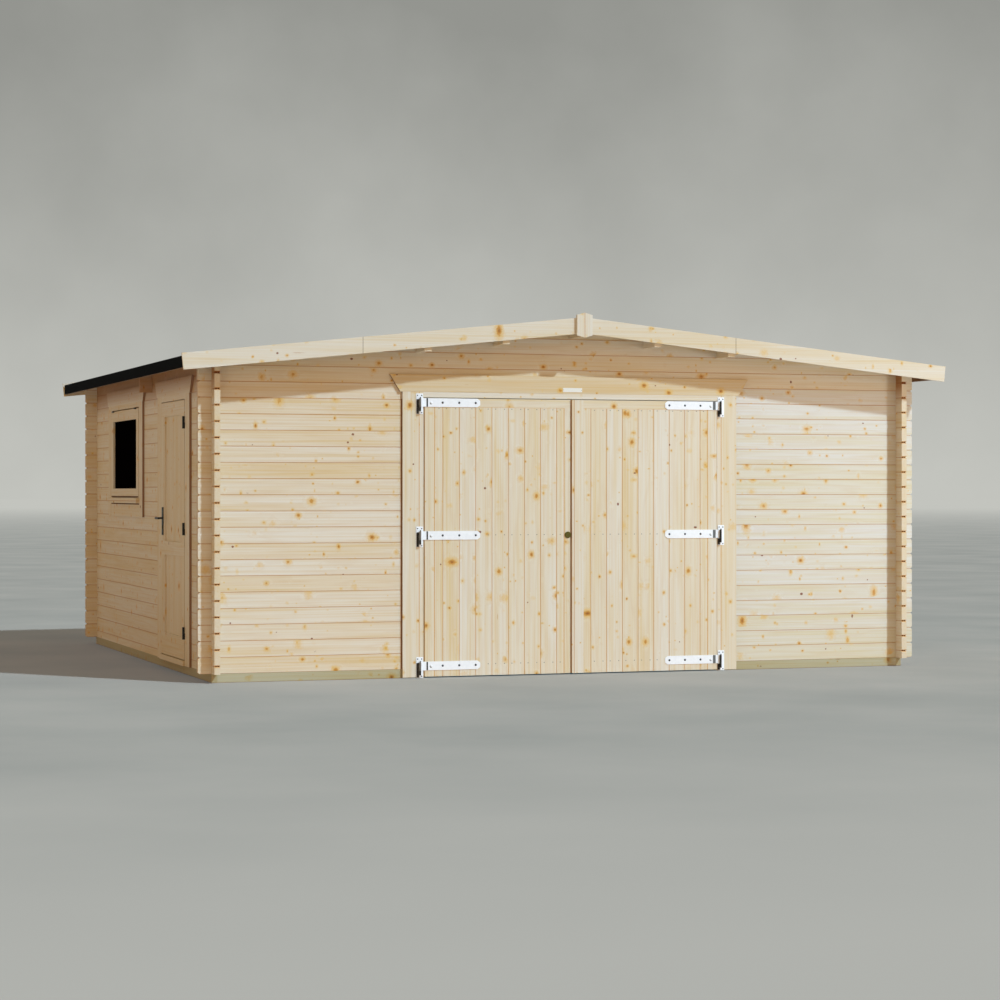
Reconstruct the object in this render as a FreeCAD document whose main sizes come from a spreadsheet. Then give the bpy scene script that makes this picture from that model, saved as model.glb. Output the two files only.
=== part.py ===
import FreeCAD, Part
import os
import Sketcher

# A log garage with a double door in the front gable, a side door and a top-hung window in the left wall.
# Millimetres. X runs to the right, Y runs from the front to the back, and Z = 0 is the ground.
# The origin lies on the ground below the middle of the roof.

document = FreeCAD.newDocument("WoodenGarage")
sheet = document.addObject("Spreadsheet::Sheet", "Sizes")

SIZES = (
    # Walls of stacked logs
    ("garage_width", 5680),
    ("garage_depth", 4990),
    ("wall_thickness", 44),
    ("log_pitch", 120),
    ("front_courses", 18),
    ("corner_projection", 102),
    ("groove_depth", 2.5),
    ("end_notch_depth", 17),
    ("end_notch_height", 26),
    ("sole_height", 66),
    ("sole_width", 44),
    # Roof
    ("roof_rise_per_metre", 105),
    ("roof_board_thickness", 19),
    ("felt_thickness", 3),
    ("eave_overhang", 255),
    ("gable_overhang", 231),
    ("eave_board_thickness", 18),
    ("eave_board_height", 86),
    ("purlin_width", 58),
    ("purlin_height", 112),
    ("purlin_spacing", 620),
    ("barge_thickness", 19),
    ("barge_height", 123),
    ("barge_rise_above_felt", 16),
    ("barge_reach", 17),
    ("apex_block_width", 126),
    ("apex_block_height", 156),
    ("apex_block_point", 18),
    ("apex_block_thickness", 22),
    ("tie_beam_distance", 2283),
    ("purlin_post_width", 58),
    # Openings and their trim
    ("doorway_width", 2480),
    ("doorway_height", 2100),
    ("casing_width", 137),
    ("casing_thickness", 18),
    ("post_width", 29.5),
    ("head_height", 42),
    ("stop_width", 15),
    ("stop_gap", 6),
    ("header_height", 130),
    ("header_thickness", 20),
    ("header_overhang", 18),
    ("header_slant", 82),
    ("casing_ground_gap", 4),
    # Garage leaves
    ("leaf_thickness", 45),
    ("leaf_proud", 8),
    ("leaf_side_gap", 6),
    ("leaf_top_gap", 6),
    ("leaf_ground_gap", 8),
    ("meeting_gap", 8),
    ("meeting_offset", 18),
    ("outer_stile_width", 78.5),
    ("left_inner_stile_width", 53),
    ("right_inner_stile_width", 97),
    ("cover_strip_width", 94),
    ("cover_strip_thickness", 15),
    ("plank_thickness", 18),
    ("plank_pitch", 131.4),
    ("plank_joint_depth", 3),
    ("first_plank_width", 65),
    ("top_rail_height", 66),
    ("rail_height", 120),
    ("middle_rail_level", 1076),
    ("brace_width", 95),
    # Strap hinges on pintles
    ("hinge_pin_inset", 2),
    ("hinge_pin_stand_off", 22),
    ("hinge_pin_radius", 8),
    ("hinge_pin_clearance", 0.5),
    ("hinge_barrel_radius", 13),
    ("strap_length", 475),
    ("strap_height", 66),
    ("strap_thickness", 5),
    ("strap_point", 22),
    ("top_strap_level", 2085),
    ("middle_strap_level", 1077),
    ("bottom_strap_level", 89),
    ("pintle_plate_width", 54),
    ("pintle_plate_offset", 3),
    ("pintle_plate_height", 157),
    ("pintle_plate_thickness", 3),
    ("pintle_plate_drop", 10),
    ("pintle_lug_height", 34),
    ("pintle_pin_rise", 8),
    ("lock_rose_radius", 25),
    ("lock_rose_thickness", 9),
    ("lock_rose_bevel", 3),
    ("lock_level", 1076),
    ("lock_inset", 24),
    # Side door
    ("side_door_distance", 1338),
    ("side_doorway_width", 980),
    ("side_leaf_thickness", 40),
    ("side_leaf_proud", 2),
    ("side_leaf_side_gap", 6),
    ("side_leaf_top_gap", 6),
    ("threshold_height", 40),
    ("threshold_reach", 34),
    ("panel_stile_width", 146),
    ("panel_recess", 12),
    ("lower_panel_bottom", 285),
    ("lower_panel_top", 904),
    ("upper_panel_bottom", 1016),
    ("upper_panel_top", 2005),
    ("side_hinge_radius", 8),
    ("side_hinge_height", 95),
    ("side_hinge_stand_off", 12),
    ("side_hinge_pin_radius", 4),
    ("side_hinge_pin_rise", 38),
    ("side_hinge_pin_end_gap", 5),
    ("side_hinge_plate_width", 9),
    ("side_hinge_plate_thickness", 3),
    ("side_top_hinge_level", 1943),
    ("side_middle_hinge_level", 1121),
    ("side_bottom_hinge_level", 318),
    ("handle_backset", 70),
    ("handle_plate_width", 38),
    ("handle_plate_height", 223),
    ("handle_plate_thickness", 8),
    ("handle_plate_level", 1173),
    ("lever_level", 1197),
    ("lever_clearance", 0.3),
    ("lever_neck_radius", 7.5),
    ("lever_neck_length", 50),
    ("lever_grip_radius", 9),
    ("lever_grip_length", 120),
    # Window
    ("window_shift", 16),
    ("window_width", 1330),
    ("window_bottom", 1332),
    ("window_frame_width", 24),
    ("sash_gap", 4),
    ("sash_top_gap", 10),
    ("sash_stop_width", 15),
    ("sash_closing_gap", 0.3),
    ("sash_thickness", 45),
    ("sash_proud", 22),
    ("sash_stile_width", 90),
    ("sash_top_rail_height", 90),
    ("sash_bottom_rail_height", 75),
    ("glass_rebate", 12),
    ("glass_thickness", 4),
    ("glass_setback", 17),
    ("sill_reach", 45),
    ("sill_height", 46),
    ("lower_casing_height", 116),
    ("window_hinge_inset", 112),
    ("window_hinge_length", 60),
    ("window_hinge_radius", 7),
)

for row, (alias, amount) in enumerate(SIZES, start=1):
    sheet.set(f"A{row}", alias)
    sheet.set(f"B{row}", str(amount))
    sheet.setAlias(f"B{row}", alias)
document.recompute()

# Cutting tools reach this far past the piece that they cut.
CUT_MARGIN = "5"

SUB_PARTS = []


# How a piece is drawn

def size_of(expression):
    """The number that an expression of named sizes gives."""
    found = sheet.evalExpression(expression)
    return float(getattr(found, "Value", found))


def keep(piece, label):
    """Note a finished sub-part under its own name."""
    piece.Label = label
    SUB_PARTS.append(piece)
    return piece


def between(side, near, far):
    """The lower and upper end of a stretch, mirrored to the left when side is -1."""
    if side > 0:
        return near, far
    return f"-({far})", f"-({near})"


def board(name, low, high):
    """A rectangular board between two opposite corners."""
    box = document.addObject("Part::Box", name)
    for length, axis, start, end in zip(("Length", "Width", "Height"), "xyz", low, high):
        box.setExpression(length, f"({end}) - ({start})")
        box.setExpression(f"Placement.Base.{axis}", start)
    return box


def rod(name, centre, radius, length, axis="z"):
    """A round bar that starts at centre and runs along one axis."""
    bar = document.addObject("Part::Cylinder", name)
    bar.setExpression("Radius", radius)
    bar.setExpression("Height", length)
    turns = {"z": (0, 0, 1, 0), "x": (0, 1, 0, 90), "-x": (0, 1, 0, -90),
             "y": (1, 0, 0, -90), "-y": (1, 0, 0, 90)}
    across, along, up, angle = turns[axis]
    bar.Placement.Rotation = FreeCAD.Rotation(FreeCAD.Vector(across, along, up), angle)
    for letter, place in zip("xyz", centre):
        bar.setExpression(f"Placement.Base.{letter}", place)
    return bar


def joined(name, pieces):
    """Several pieces as one solid."""
    fused = document.addObject("Part::MultiFuse", name)
    fused.Shapes = pieces
    return fused


def without(name, piece, tool):
    """A piece with a tool's shape taken away."""
    cut = document.addObject("Part::Cut", name)
    cut.Base = piece
    cut.Tool = tool
    return cut


def gathered(label, pieces):
    """Like pieces that stand apart, kept as one sub-part."""
    group = document.addObject("Part::Compound", label)
    group.Links = pieces
    return keep(group, label)


# Sketched bodies: a view is the plane that the outline is drawn on

PLANES = {"front": "XZ_Plane", "side": "YZ_Plane", "plan": "XY_Plane"}


def origin_feature(body, role):
    """A body's own plane or axis."""
    return next(feature for feature in body.Origin.OriginFeatures if feature.Role == role)


def add_outline(sketch, corners):
    """A closed outline whose corners are tied to the named sizes."""
    points = [FreeCAD.Vector(size_of(across), size_of(up), 0) for across, up in corners]
    first = sketch.GeometryCount
    count = len(points)
    for index, point in enumerate(points):
        sketch.addGeometry(Part.LineSegment(point, points[(index + 1) % count]), False)
    for index in range(count):
        following = first + (index + 1) % count
        sketch.addConstraint(Sketcher.Constraint("Coincident", first + index, 2, following, 1))
    for index, (across, up) in enumerate(corners):
        point = points[index]
        for kind, place, amount in (("DistanceX", across, point.x), ("DistanceY", up, point.y)):
            constraint = Sketcher.Constraint(kind, -1, 1, first + index, 1, amount)
            number = sketch.addConstraint(constraint)
            sketch.setExpression(f"Constraints[{number}]", place)


def add_sketch(body, view, outlines, start):
    """A sketch of closed outlines on a plane at the given distance from the origin."""
    sketch = body.newObject("Sketcher::SketchObject", f"{body.Name}_outline")
    sketch.AttachmentSupport = (origin_feature(body, PLANES[view]), [""])
    sketch.MapMode = "FlatFace"
    sign = "-" if view == "front" else ""
    sketch.setExpression("AttachmentOffset.Base.z", f"{sign}({start})")
    for outline in outlines:
        add_outline(sketch, outline)
    return sketch


def prism(name, view, outline, start, length):
    """A body padded from one outline, from start towards +X, +Y or +Z."""
    body = document.addObject("PartDesign::Body", name)
    sketch = add_sketch(body, view, [outline], start)
    pad = body.newObject("PartDesign::Pad", f"{name}_pad")
    pad.Profile = sketch
    pad.Reversed = view == "front"
    pad.setExpression("Length", length)
    document.recompute()
    return body


def carve(body, view, outlines, start, length, count=None):
    """Cut outlines into a body, once or repeated upwards at each log joint."""
    before = body.Shape.Volume
    sketch = add_sketch(body, view, outlines, start)
    pocket = body.newObject("PartDesign::Pocket", f"{body.Name}_cut")
    pocket.Profile = sketch
    pocket.Reversed = view != "front"
    pocket.setExpression("Length", length)
    if count is not None:
        repeat = body.newObject("PartDesign::LinearPattern", f"{body.Name}_courses")
        repeat.Originals = [pocket]
        repeat.Direction = (origin_feature(body, "Z_Axis"), [""])
        repeat.setExpression("Occurrences", count)
        repeat.setExpression("Length", f"Sizes.log_pitch * (({count}) - 1)")
        body.Tip = repeat
    document.recompute()
    if not body.Shape.Volume < before:
        raise RuntimeError(f"a cut removed nothing from {body.Label}")


# Places that many pieces share

HALF_WIDTH = "Sizes.garage_width / 2"
HALF_DEPTH = "Sizes.garage_depth / 2"
LEFT = f"-{HALF_WIDTH}"
FRONT = f"-{HALF_DEPTH}"
WALL = "Sizes.wall_thickness"
PITCH = "Sizes.log_pitch"
STUB = "Sizes.corner_projection"
BASE = "Sizes.sole_height"
EAVES = f"{BASE} + (Sizes.front_courses + 1.5) * {PITCH}"
GABLE_BASE = f"{BASE} + Sizes.front_courses * {PITCH}"
RISE = "Sizes.roof_rise_per_metre / 1000"
DOOR_TOP = f"{BASE} + Sizes.doorway_height"


def roof_underside(from_middle):
    """Height of the roof boards' lower face at a distance from the ridge."""
    return f"{EAVES} + ({HALF_WIDTH} - ({from_middle})) * {RISE}"


def felt_top(from_middle):
    """Height of the felt's upper face at a distance from the ridge."""
    return f"{roof_underside(from_middle)} + Sizes.roof_board_thickness + Sizes.felt_thickness"


def rectangle(left, right, low, high):
    """The corners of an upright rectangle."""
    return [(left, low), (right, low), (right, high), (left, high)]


# Logs: grooves along the joints, laps where walls cross, notched log ends

def groove_outlines(outer, inner, level):
    """A small V on each face of a wall at one joint between logs."""
    depth = "Sizes.groove_depth"
    return [
        [(f"{outer} - {depth}", f"{level} - 2 * {depth}"), (f"{outer} + {depth}", level),
         (f"{outer} - {depth}", f"{level} + 2 * {depth}")],
        [(f"{inner} + {depth}", f"{level} - 2 * {depth}"), (f"{inner} - {depth}", level),
         (f"{inner} + {depth}", f"{level} + 2 * {depth}")],
    ]


def lap_outline(wall_near, wall_far, level):
    """The half log that a crossing wall takes, a quarter above and a quarter below the joint."""
    return rectangle(wall_near, wall_far, f"{level} - {PITCH} / 4", f"{level} + {PITCH} / 4")


def end_notch_outline(end, inwards, level):
    """The V where two log ends meet."""
    half = "Sizes.end_notch_height / 2"
    return [(f"{end} - {inwards} * {CUT_MARGIN}", f"{level} - {half}"),
            (f"{end} + {inwards} * Sizes.end_notch_depth", level),
            (f"{end} - {inwards} * {CUT_MARGIN}", f"{level} + {half}")]


def corner_outlines(half_span, corners, level):
    """The lap and the end notch at one joint, for the corners at a wall's lower (-1) or upper (1) end."""
    outlines = []
    for corner in corners:
        near, far = between(corner, f"{half_span} - {WALL}", half_span)
        outlines.append(lap_outline(near, far, level))
        outlines.append(end_notch_outline(f"{corner} * ({half_span} + {STUB})", str(-corner), level))
    return outlines


def finish_logs(body, view, face, stretch, first_joint, grooves, corners, laps):
    """Lap and notch the corners of a wall seen in a view, and groove it along its joints.

    The face is the lower one through the wall's thickness, and the stretch is its start and end along its
    length. Grooves and laps say how many joints are grooved and lapped, from the first joint up.
    """
    half_span = HALF_WIDTH if view == "front" else HALF_DEPTH
    outlines = corner_outlines(half_span, corners, first_joint)
    if outlines:
        carve(body, view, outlines, f"{face} - {CUT_MARGIN}", f"{WALL} + 2 * {CUT_MARGIN}", laps)
    start, end = stretch
    length = f"({end}) - ({start}) + 2 * {CUT_MARGIN}"
    outlines = groove_outlines(face, f"{face} + {WALL}", first_joint)
    carve(body, "side" if view == "front" else "front", outlines, f"{start} - {CUT_MARGIN}", length, grooves)


# Sole beams

def sole_beams():
    """Treated beams on the ground, cut out at the garage doorway."""
    inner = f"{HALF_WIDTH} - Sizes.sole_width"
    fronts = []
    for side, word in ((-1, "left"), (1, "right")):
        near, far = between(side, "Sizes.doorway_width / 2", inner)
        inner_face = f"{FRONT} + Sizes.sole_width"
        fronts.append(board(f"front_sole_{word}", (near, FRONT, "0"), (far, inner_face, BASE)))
    gathered("front_sole", fronts)
    back_low = (f"-({inner})", f"{HALF_DEPTH} - Sizes.sole_width", "0")
    keep(board("back_sole", back_low, (inner, HALF_DEPTH, BASE)), "back_sole")
    for side, word in ((-1, "left"), (1, "right")):
        near, far = between(side, inner, HALF_WIDTH)
        keep(board(f"{word}_sole", (near, FRONT, "0"), (far, HALF_DEPTH, BASE)), f"{word}_sole")


# Walls

def front_wall_beside_door(side, label):
    """The logs between a front corner and the garage doorway."""
    near, far = between(side, "Sizes.doorway_width / 2", f"{HALF_WIDTH} + {STUB}")
    joints = "Sizes.front_courses + 1"
    body = prism(label, "front", rectangle(near, far, BASE, GABLE_BASE), FRONT, WALL)
    finish_logs(body, "front", FRONT, (near, far), BASE, joints, [side], joints)
    keep(body, label)


def purlin_notches():
    """Outlines that let the purlins through a gable."""
    half = "Sizes.purlin_width / 2"
    notches = []
    for place in (-2, -1, 0, 1, 2):
        middle = f"{place} * Sizes.purlin_spacing"
        bottom = purlin_bottom(abs(place))
        top = f"{roof_underside('0')} + {CUT_MARGIN}"
        notches.append(rectangle(f"{middle} - {half}", f"{middle} + {half}", bottom, top))
    return notches


def purlin_bottom(place):
    """Lower face of a purlin that many spacings from the ridge."""
    return f"{roof_underside(f'{place} * Sizes.purlin_spacing')} - Sizes.purlin_height"


GABLE_REACH = f"{HALF_WIDTH} + {STUB}"
GABLE_JOINTS = f"floor(({roof_underside('0')} - ({GABLE_BASE})) / {PITCH}) + 1"
CORNER_JOINTS = f"floor(({roof_underside(GABLE_REACH)} - ({GABLE_BASE})) / {PITCH}) + 1"


def gable_wall(label, bottom_corners, low, face, courses):
    """A wall that rises to the ridge over so many full courses, with notches for the purlins."""
    outline = [(f"-({GABLE_REACH})", low), (f"-({GABLE_REACH})", roof_underside(GABLE_REACH)),
               ("0", roof_underside("0")), (GABLE_REACH, roof_underside(GABLE_REACH)),
               (GABLE_REACH, low)] + bottom_corners
    body = prism(label, "front", outline, face, WALL)
    stretch = (f"-({GABLE_REACH})", GABLE_REACH)
    finish_logs(body, "front", face, stretch, low, f"{courses} + {GABLE_JOINTS}", [-1, 1],
                f"{courses} + {CORNER_JOINTS}")
    carve(body, "front", purlin_notches(), f"{face} - {CUT_MARGIN}", f"{WALL} + 2 * {CUT_MARGIN}")
    keep(body, label)


def front_and_back_walls():
    """The front wall in three pieces around the doorway, and the whole back wall."""
    front_wall_beside_door(-1, "front_wall_left")
    front_wall_beside_door(1, "front_wall_right")
    half_door = "Sizes.doorway_width / 2"
    over_door = [(half_door, GABLE_BASE), (half_door, DOOR_TOP), (f"-{half_door}", DOOR_TOP),
                 (f"-{half_door}", GABLE_BASE)]
    gable_wall("front_gable", over_door, GABLE_BASE, FRONT, "0")
    gable_wall("back_wall", [], BASE, f"{HALF_DEPTH} - {WALL}", "Sizes.front_courses")


def side_wall_piece(label, side, start, end, low, high, first_joint, courses, ends, laps=None):
    """A length of side wall; without a height it reaches the sloping roof."""
    near, far = between(side, f"{HALF_WIDTH} - {WALL}", HALF_WIDTH)
    if high is None:
        outer_top = roof_underside(HALF_WIDTH)
        inner_top = roof_underside(f"{HALF_WIDTH} - {WALL}")
        tops = (outer_top, inner_top) if side < 0 else (inner_top, outer_top)
    else:
        tops = (high, high)
    outline = [(near, low), (far, low), (far, tops[1]), (near, tops[0])]
    body = prism(label, "front", outline, start, f"({end}) - ({start})")
    finish_logs(body, "side", near, (start, end), first_joint, courses, ends, laps or courses)
    return body


def tie_beam_lap(body, side):
    """The half log that the tie beam takes out of a side wall."""
    near, _ = between(side, f"{HALF_WIDTH} - {WALL}", HALF_WIDTH)
    start = f"{FRONT} + Sizes.tie_beam_distance"
    level = f"{GABLE_BASE} + {PITCH} / 2"
    outline = lap_outline(start, f"{start} + {WALL}", level)
    carve(body, "side", [outline], f"{near} - {CUT_MARGIN}", f"{WALL} + 2 * {CUT_MARGIN}")


HALF_SIDE_DOORWAY = "Sizes.side_doorway_width / 2"
HALF_WINDOW = "Sizes.window_width / 2"
SIDE_DOOR = f"{FRONT} + Sizes.side_door_distance"
WINDOW = f"({SIDE_DOOR} + {HALF_SIDE_DOORWAY} + {HALF_DEPTH}) / 2 + Sizes.window_shift"
TOP_JOINTS = "2"   # The side walls have two joints over their openings.


def side_walls():
    """The whole right wall, and the left wall in pieces around its door and window."""
    first_joint = f"{BASE} + {PITCH} / 2"
    start = f"{FRONT} - {STUB}"
    end = f"{HALF_DEPTH} + {STUB}"
    right = side_wall_piece("right_wall", 1, start, end, BASE, None, first_joint, "Sizes.front_courses + 1",
                            [-1, 1], "Sizes.front_courses + 2")
    tie_beam_lap(right, 1)
    keep(right, "right_wall")
    door_near = f"{SIDE_DOOR} - {HALF_SIDE_DOORWAY}"
    door_far = f"{SIDE_DOOR} + {HALF_SIDE_DOORWAY}"
    window_near = f"{WINDOW} - {HALF_WINDOW}"
    window_far = f"{WINDOW} + {HALF_WINDOW}"
    courses = "Sizes.front_courses"
    keep(side_wall_piece("left_wall_front", -1, start, door_near, BASE, DOOR_TOP, first_joint, courses, [-1]),
         "left_wall_front")
    keep(side_wall_piece("left_wall_pier", -1, door_far, window_near, BASE, DOOR_TOP, first_joint, courses, []),
         "left_wall_pier")
    keep(side_wall_piece("left_wall_under_window", -1, window_near, window_far, BASE, "Sizes.window_bottom",
                         first_joint, f"floor((Sizes.window_bottom - {BASE}) / {PITCH} + 0.5)", []),
         "left_wall_under_window")
    keep(side_wall_piece("left_wall_rear", -1, window_far, end, BASE, DOOR_TOP, first_joint, courses, [1]),
         "left_wall_rear")
    top_joint = f"{GABLE_BASE} - {PITCH} / 2"
    top = side_wall_piece("left_wall_top", -1, start, end, DOOR_TOP, None, top_joint, TOP_JOINTS, [-1, 1],
                          f"{TOP_JOINTS} + 1")
    tie_beam_lap(top, -1)
    keep(top, "left_wall_top")


# Roof frame

def tie_beam():
    """One log across the garage, lapped through both side walls, that carries the purlins."""
    reach = f"{HALF_WIDTH} + {STUB}"
    start = f"{FRONT} + Sizes.tie_beam_distance"
    top = f"{GABLE_BASE} + {PITCH}"
    body = prism("tie_beam", "front", rectangle(f"-({reach})", reach, GABLE_BASE, top), start, WALL)
    laps = []
    for side in (-1, 1):
        near, far = between(side, f"{HALF_WIDTH} - {WALL}", HALF_WIDTH)
        laps.append(lap_outline(near, far, GABLE_BASE))
    carve(body, "front", laps, f"{start} - {CUT_MARGIN}", f"{WALL} + 2 * {CUT_MARGIN}", "2")
    keep(body, "tie_beam")


def purlins():
    """Five purlins under the roof, and the short posts that carry them on the tie beam."""
    half = "Sizes.purlin_width / 2"
    start = f"{FRONT} - Sizes.gable_overhang"
    length = "Sizes.garage_depth + 2 * Sizes.gable_overhang"
    bars = []
    posts = []
    for place in (-2, -1, 0, 1, 2):
        middle = f"{place} * Sizes.purlin_spacing"
        low = purlin_bottom(abs(place))
        near, far = f"{middle} - {half}", f"{middle} + {half}"
        from_ridge = (f"-({near})", f"-({far})") if place < 0 else (near, far)
        outline = [(near, low), (far, low), (far, roof_underside(from_ridge[1])),
                   (near, roof_underside(from_ridge[0]))]
        if place == 0:
            outline = [(near, low), (far, low), (far, roof_underside(far)), ("0", roof_underside("0")),
                       (near, roof_underside(far))]
        bars.append(prism(f"purlin_{place + 3}", "front", outline, start, length))
        post_half = "Sizes.purlin_post_width / 2"
        tie_start = f"{FRONT} + Sizes.tie_beam_distance"
        posts.append(board(f"purlin_post_{place + 3}",
                           (f"{middle} - {post_half}", tie_start, f"{GABLE_BASE} + {PITCH}"),
                           (f"{middle} + {post_half}", f"{tie_start} + {WALL}", low)))
    gathered("purlins", bars)
    gathered("purlin_posts", posts)


# Roof covering

ROOF_START = f"{FRONT} - Sizes.gable_overhang"
ROOF_LENGTH = "Sizes.garage_depth + 2 * Sizes.gable_overhang"


def mirrored_outline(side, corners):
    """An outline drawn for the right-hand slope, turned over for the left one."""
    if side > 0:
        return corners
    return [(f"-({across})", up) for across, up in corners]


def roof_slope(side, word):
    """Boards and felt of one roof slope."""
    felt_edge = f"{HALF_WIDTH} + Sizes.eave_overhang"
    eave_outer = f"{felt_edge} - Sizes.felt_thickness"
    boards_edge = f"{eave_outer} - Sizes.eave_board_thickness"
    thick = "Sizes.roof_board_thickness"
    boards = [("0", roof_underside("0")), (boards_edge, roof_underside(boards_edge)),
              (boards_edge, f"{roof_underside(boards_edge)} + {thick}"),
              ("0", f"{roof_underside('0')} + {thick}")]
    keep(prism(f"roof_boards_{word}", "front", mirrored_outline(side, boards), ROOF_START, ROOF_LENGTH),
         f"roof_boards_{word}")
    eave_top = f"{roof_underside(eave_outer)} + {thick}"
    eave_bottom = f"{eave_top} - Sizes.eave_board_height"
    felt = [("0", f"{roof_underside('0')} + {thick}"), (eave_outer, eave_top), (eave_outer, eave_bottom),
            (felt_edge, eave_bottom), (felt_edge, felt_top(felt_edge)), ("0", felt_top("0"))]
    keep(prism(f"roof_felt_{word}", "front", mirrored_outline(side, felt), ROOF_START, ROOF_LENGTH),
         f"roof_felt_{word}")
    eave = [(boards_edge, eave_bottom), (eave_outer, eave_bottom), (eave_outer, eave_top),
            (boards_edge, f"{roof_underside(boards_edge)} + {thick}")]
    return prism(f"eave_board_{word}", "front", mirrored_outline(side, eave), ROOF_START, ROOF_LENGTH)


def barge_pair(side, word):
    """The front and back barge boards of one slope, cut square to the slope at the eave."""
    tip = f"{HALF_WIDTH} + Sizes.eave_overhang + Sizes.barge_reach"
    height = "Sizes.barge_height"
    top_at_ridge = f"{felt_top('0')} + Sizes.barge_rise_above_felt"
    top_at_tip = f"{felt_top(tip)} + Sizes.barge_rise_above_felt"
    foot = f"{tip} - {height} * {RISE}"
    top_at_foot = f"{felt_top(foot)} + Sizes.barge_rise_above_felt"
    outline = [("0", f"{top_at_ridge} - {height}"), (foot, f"{top_at_foot} - {height}"),
               (tip, top_at_tip), ("0", top_at_ridge)]
    front = f"{ROOF_START} - Sizes.barge_thickness"
    back = f"{ROOF_START} + {ROOF_LENGTH}"
    outline = mirrored_outline(side, outline)
    boards = [prism(f"barge_{word}_{end}", "front", outline, start, "Sizes.barge_thickness")
              for end, start in (("front", front), ("back", back))]
    gathered(f"barge_boards_{word}", boards)


def apex_blocks():
    """The six-sided blocks that cover the barge joint at each gable."""
    half = "Sizes.apex_block_width / 2"
    point = "Sizes.apex_block_point"
    middle = f"{felt_top('0')} + Sizes.barge_rise_above_felt - Sizes.barge_height / 2"
    shoulder = "Sizes.apex_block_height / 2"
    outline = [("0", f"{middle} - {shoulder} - {point}"), (half, f"{middle} - {shoulder}"),
               (half, f"{middle} + {shoulder}"), ("0", f"{middle} + {shoulder} + {point}"),
               (f"-{half}", f"{middle} + {shoulder}"), (f"-{half}", f"{middle} - {shoulder}")]
    thick = "Sizes.apex_block_thickness"
    front = f"{ROOF_START} - Sizes.barge_thickness - {thick}"
    back = f"{ROOF_START} + {ROOF_LENGTH} + Sizes.barge_thickness"
    gathered("apex_blocks", [prism("apex_block_front", "front", outline, front, thick),
                             prism("apex_block_back", "front", outline, back, thick)])


# Trim around an opening, for a wall seen along one axis

def wall_board(name, wall, across, depth, up):
    """A board given by its stretch along the wall, its stretch through the wall and its heights.

    Depth is measured inwards from the wall's outer face.
    """
    if wall == "front":
        low = (across[0], f"{FRONT} + ({depth[0]})", up[0])
        high = (across[1], f"{FRONT} + ({depth[1]})", up[1])
    else:
        low = (f"{LEFT} + ({depth[0]})", across[0], up[0])
        high = (f"{LEFT} + ({depth[1]})", across[1], up[1])
    return board(name, low, high)


def header_board(label, wall, middle, half_opening):
    """The board over an opening, longer at the top than at the bottom."""
    high = f"{DOOR_TOP} + Sizes.header_height"
    half_low = f"{half_opening} + Sizes.casing_width + Sizes.header_overhang"
    half_high = f"{half_low} + Sizes.header_slant"
    outline = [(f"{middle} - ({half_low})", DOOR_TOP), (f"{middle} + {half_low}", DOOR_TOP),
               (f"{middle} + {half_high}", high), (f"{middle} - ({half_high})", high)]
    face = FRONT if wall == "front" else LEFT
    keep(prism(label, wall, outline, f"{face} - Sizes.header_thickness", "Sizes.header_thickness"), label)


def casings(label, wall, middle, half_opening, bottom):
    """Outer and inner casing boards at both sides of an opening."""
    inner_low = f"max({bottom}; {BASE})"
    boards = []
    for side, word in ((-1, "near"), (1, "far")):
        near, far = between(side, half_opening, f"{half_opening} + Sizes.casing_width")
        across = (f"{middle} + ({near})", f"{middle} + ({far})")
        boards.append(wall_board(f"{label}_{word}_outer", wall, across, ("-Sizes.casing_thickness", "0"),
                                 (bottom, DOOR_TOP)))
        boards.append(wall_board(f"{label}_{word}_inner", wall, across,
                                 (WALL, f"{WALL} + Sizes.casing_thickness"), (inner_low, DOOR_TOP)))
    gathered(label, boards)


def door_posts(label, wall, middle, half_opening, low, leaf_back):
    """Posts that line a doorway, each with a rebate that the leaf closes against."""
    outer = "-Sizes.casing_thickness"
    inner = f"{WALL} + Sizes.casing_thickness"
    stop = f"{leaf_back} + Sizes.stop_gap"
    posts = []
    for side, word in ((-1, "near"), (1, "far")):
        outside = half_opening
        face = f"{half_opening} - Sizes.post_width"
        stop_face = f"{face} - Sizes.stop_width"
        plan = [(outside, outer), (face, outer), (face, stop),
                (stop_face, stop), (stop_face, inner), (outside, inner)]
        if wall == "front":
            outline = [(f"{middle} + {side} * ({across})", f"{FRONT} + ({depth})") for across, depth in plan]
        else:
            outline = [(f"{LEFT} + ({depth})", f"{middle} + {side} * ({across})") for across, depth in plan]
        posts.append(prism(f"{label}_{word}", "plan", outline, low, f"{DOOR_TOP} - ({low})"))
    gathered(label, posts)


def door_head(label, wall, middle, half_opening, leaf_back):
    """The head between the posts, with the same rebate."""
    outer = "-Sizes.casing_thickness"
    inner = f"{WALL} + Sizes.casing_thickness"
    stop = f"{leaf_back} + Sizes.stop_gap"
    low = f"{DOOR_TOP} - Sizes.head_height"
    half = f"{half_opening} - Sizes.post_width"
    half_stop = f"{half} - Sizes.stop_width"
    front = wall_board(f"{label}_front", wall, (f"{middle} - ({half})", f"{middle} + {half}"), (outer, stop),
                       (low, DOOR_TOP))
    rebate = wall_board(f"{label}_stop", wall, (f"{middle} - ({half_stop})", f"{middle} + {half_stop}"),
                        (stop, inner), (f"{low} - Sizes.stop_width", DOOR_TOP))
    keep(joined(label, [front, rebate]), label)


# Garage doorway and leaves

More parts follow.
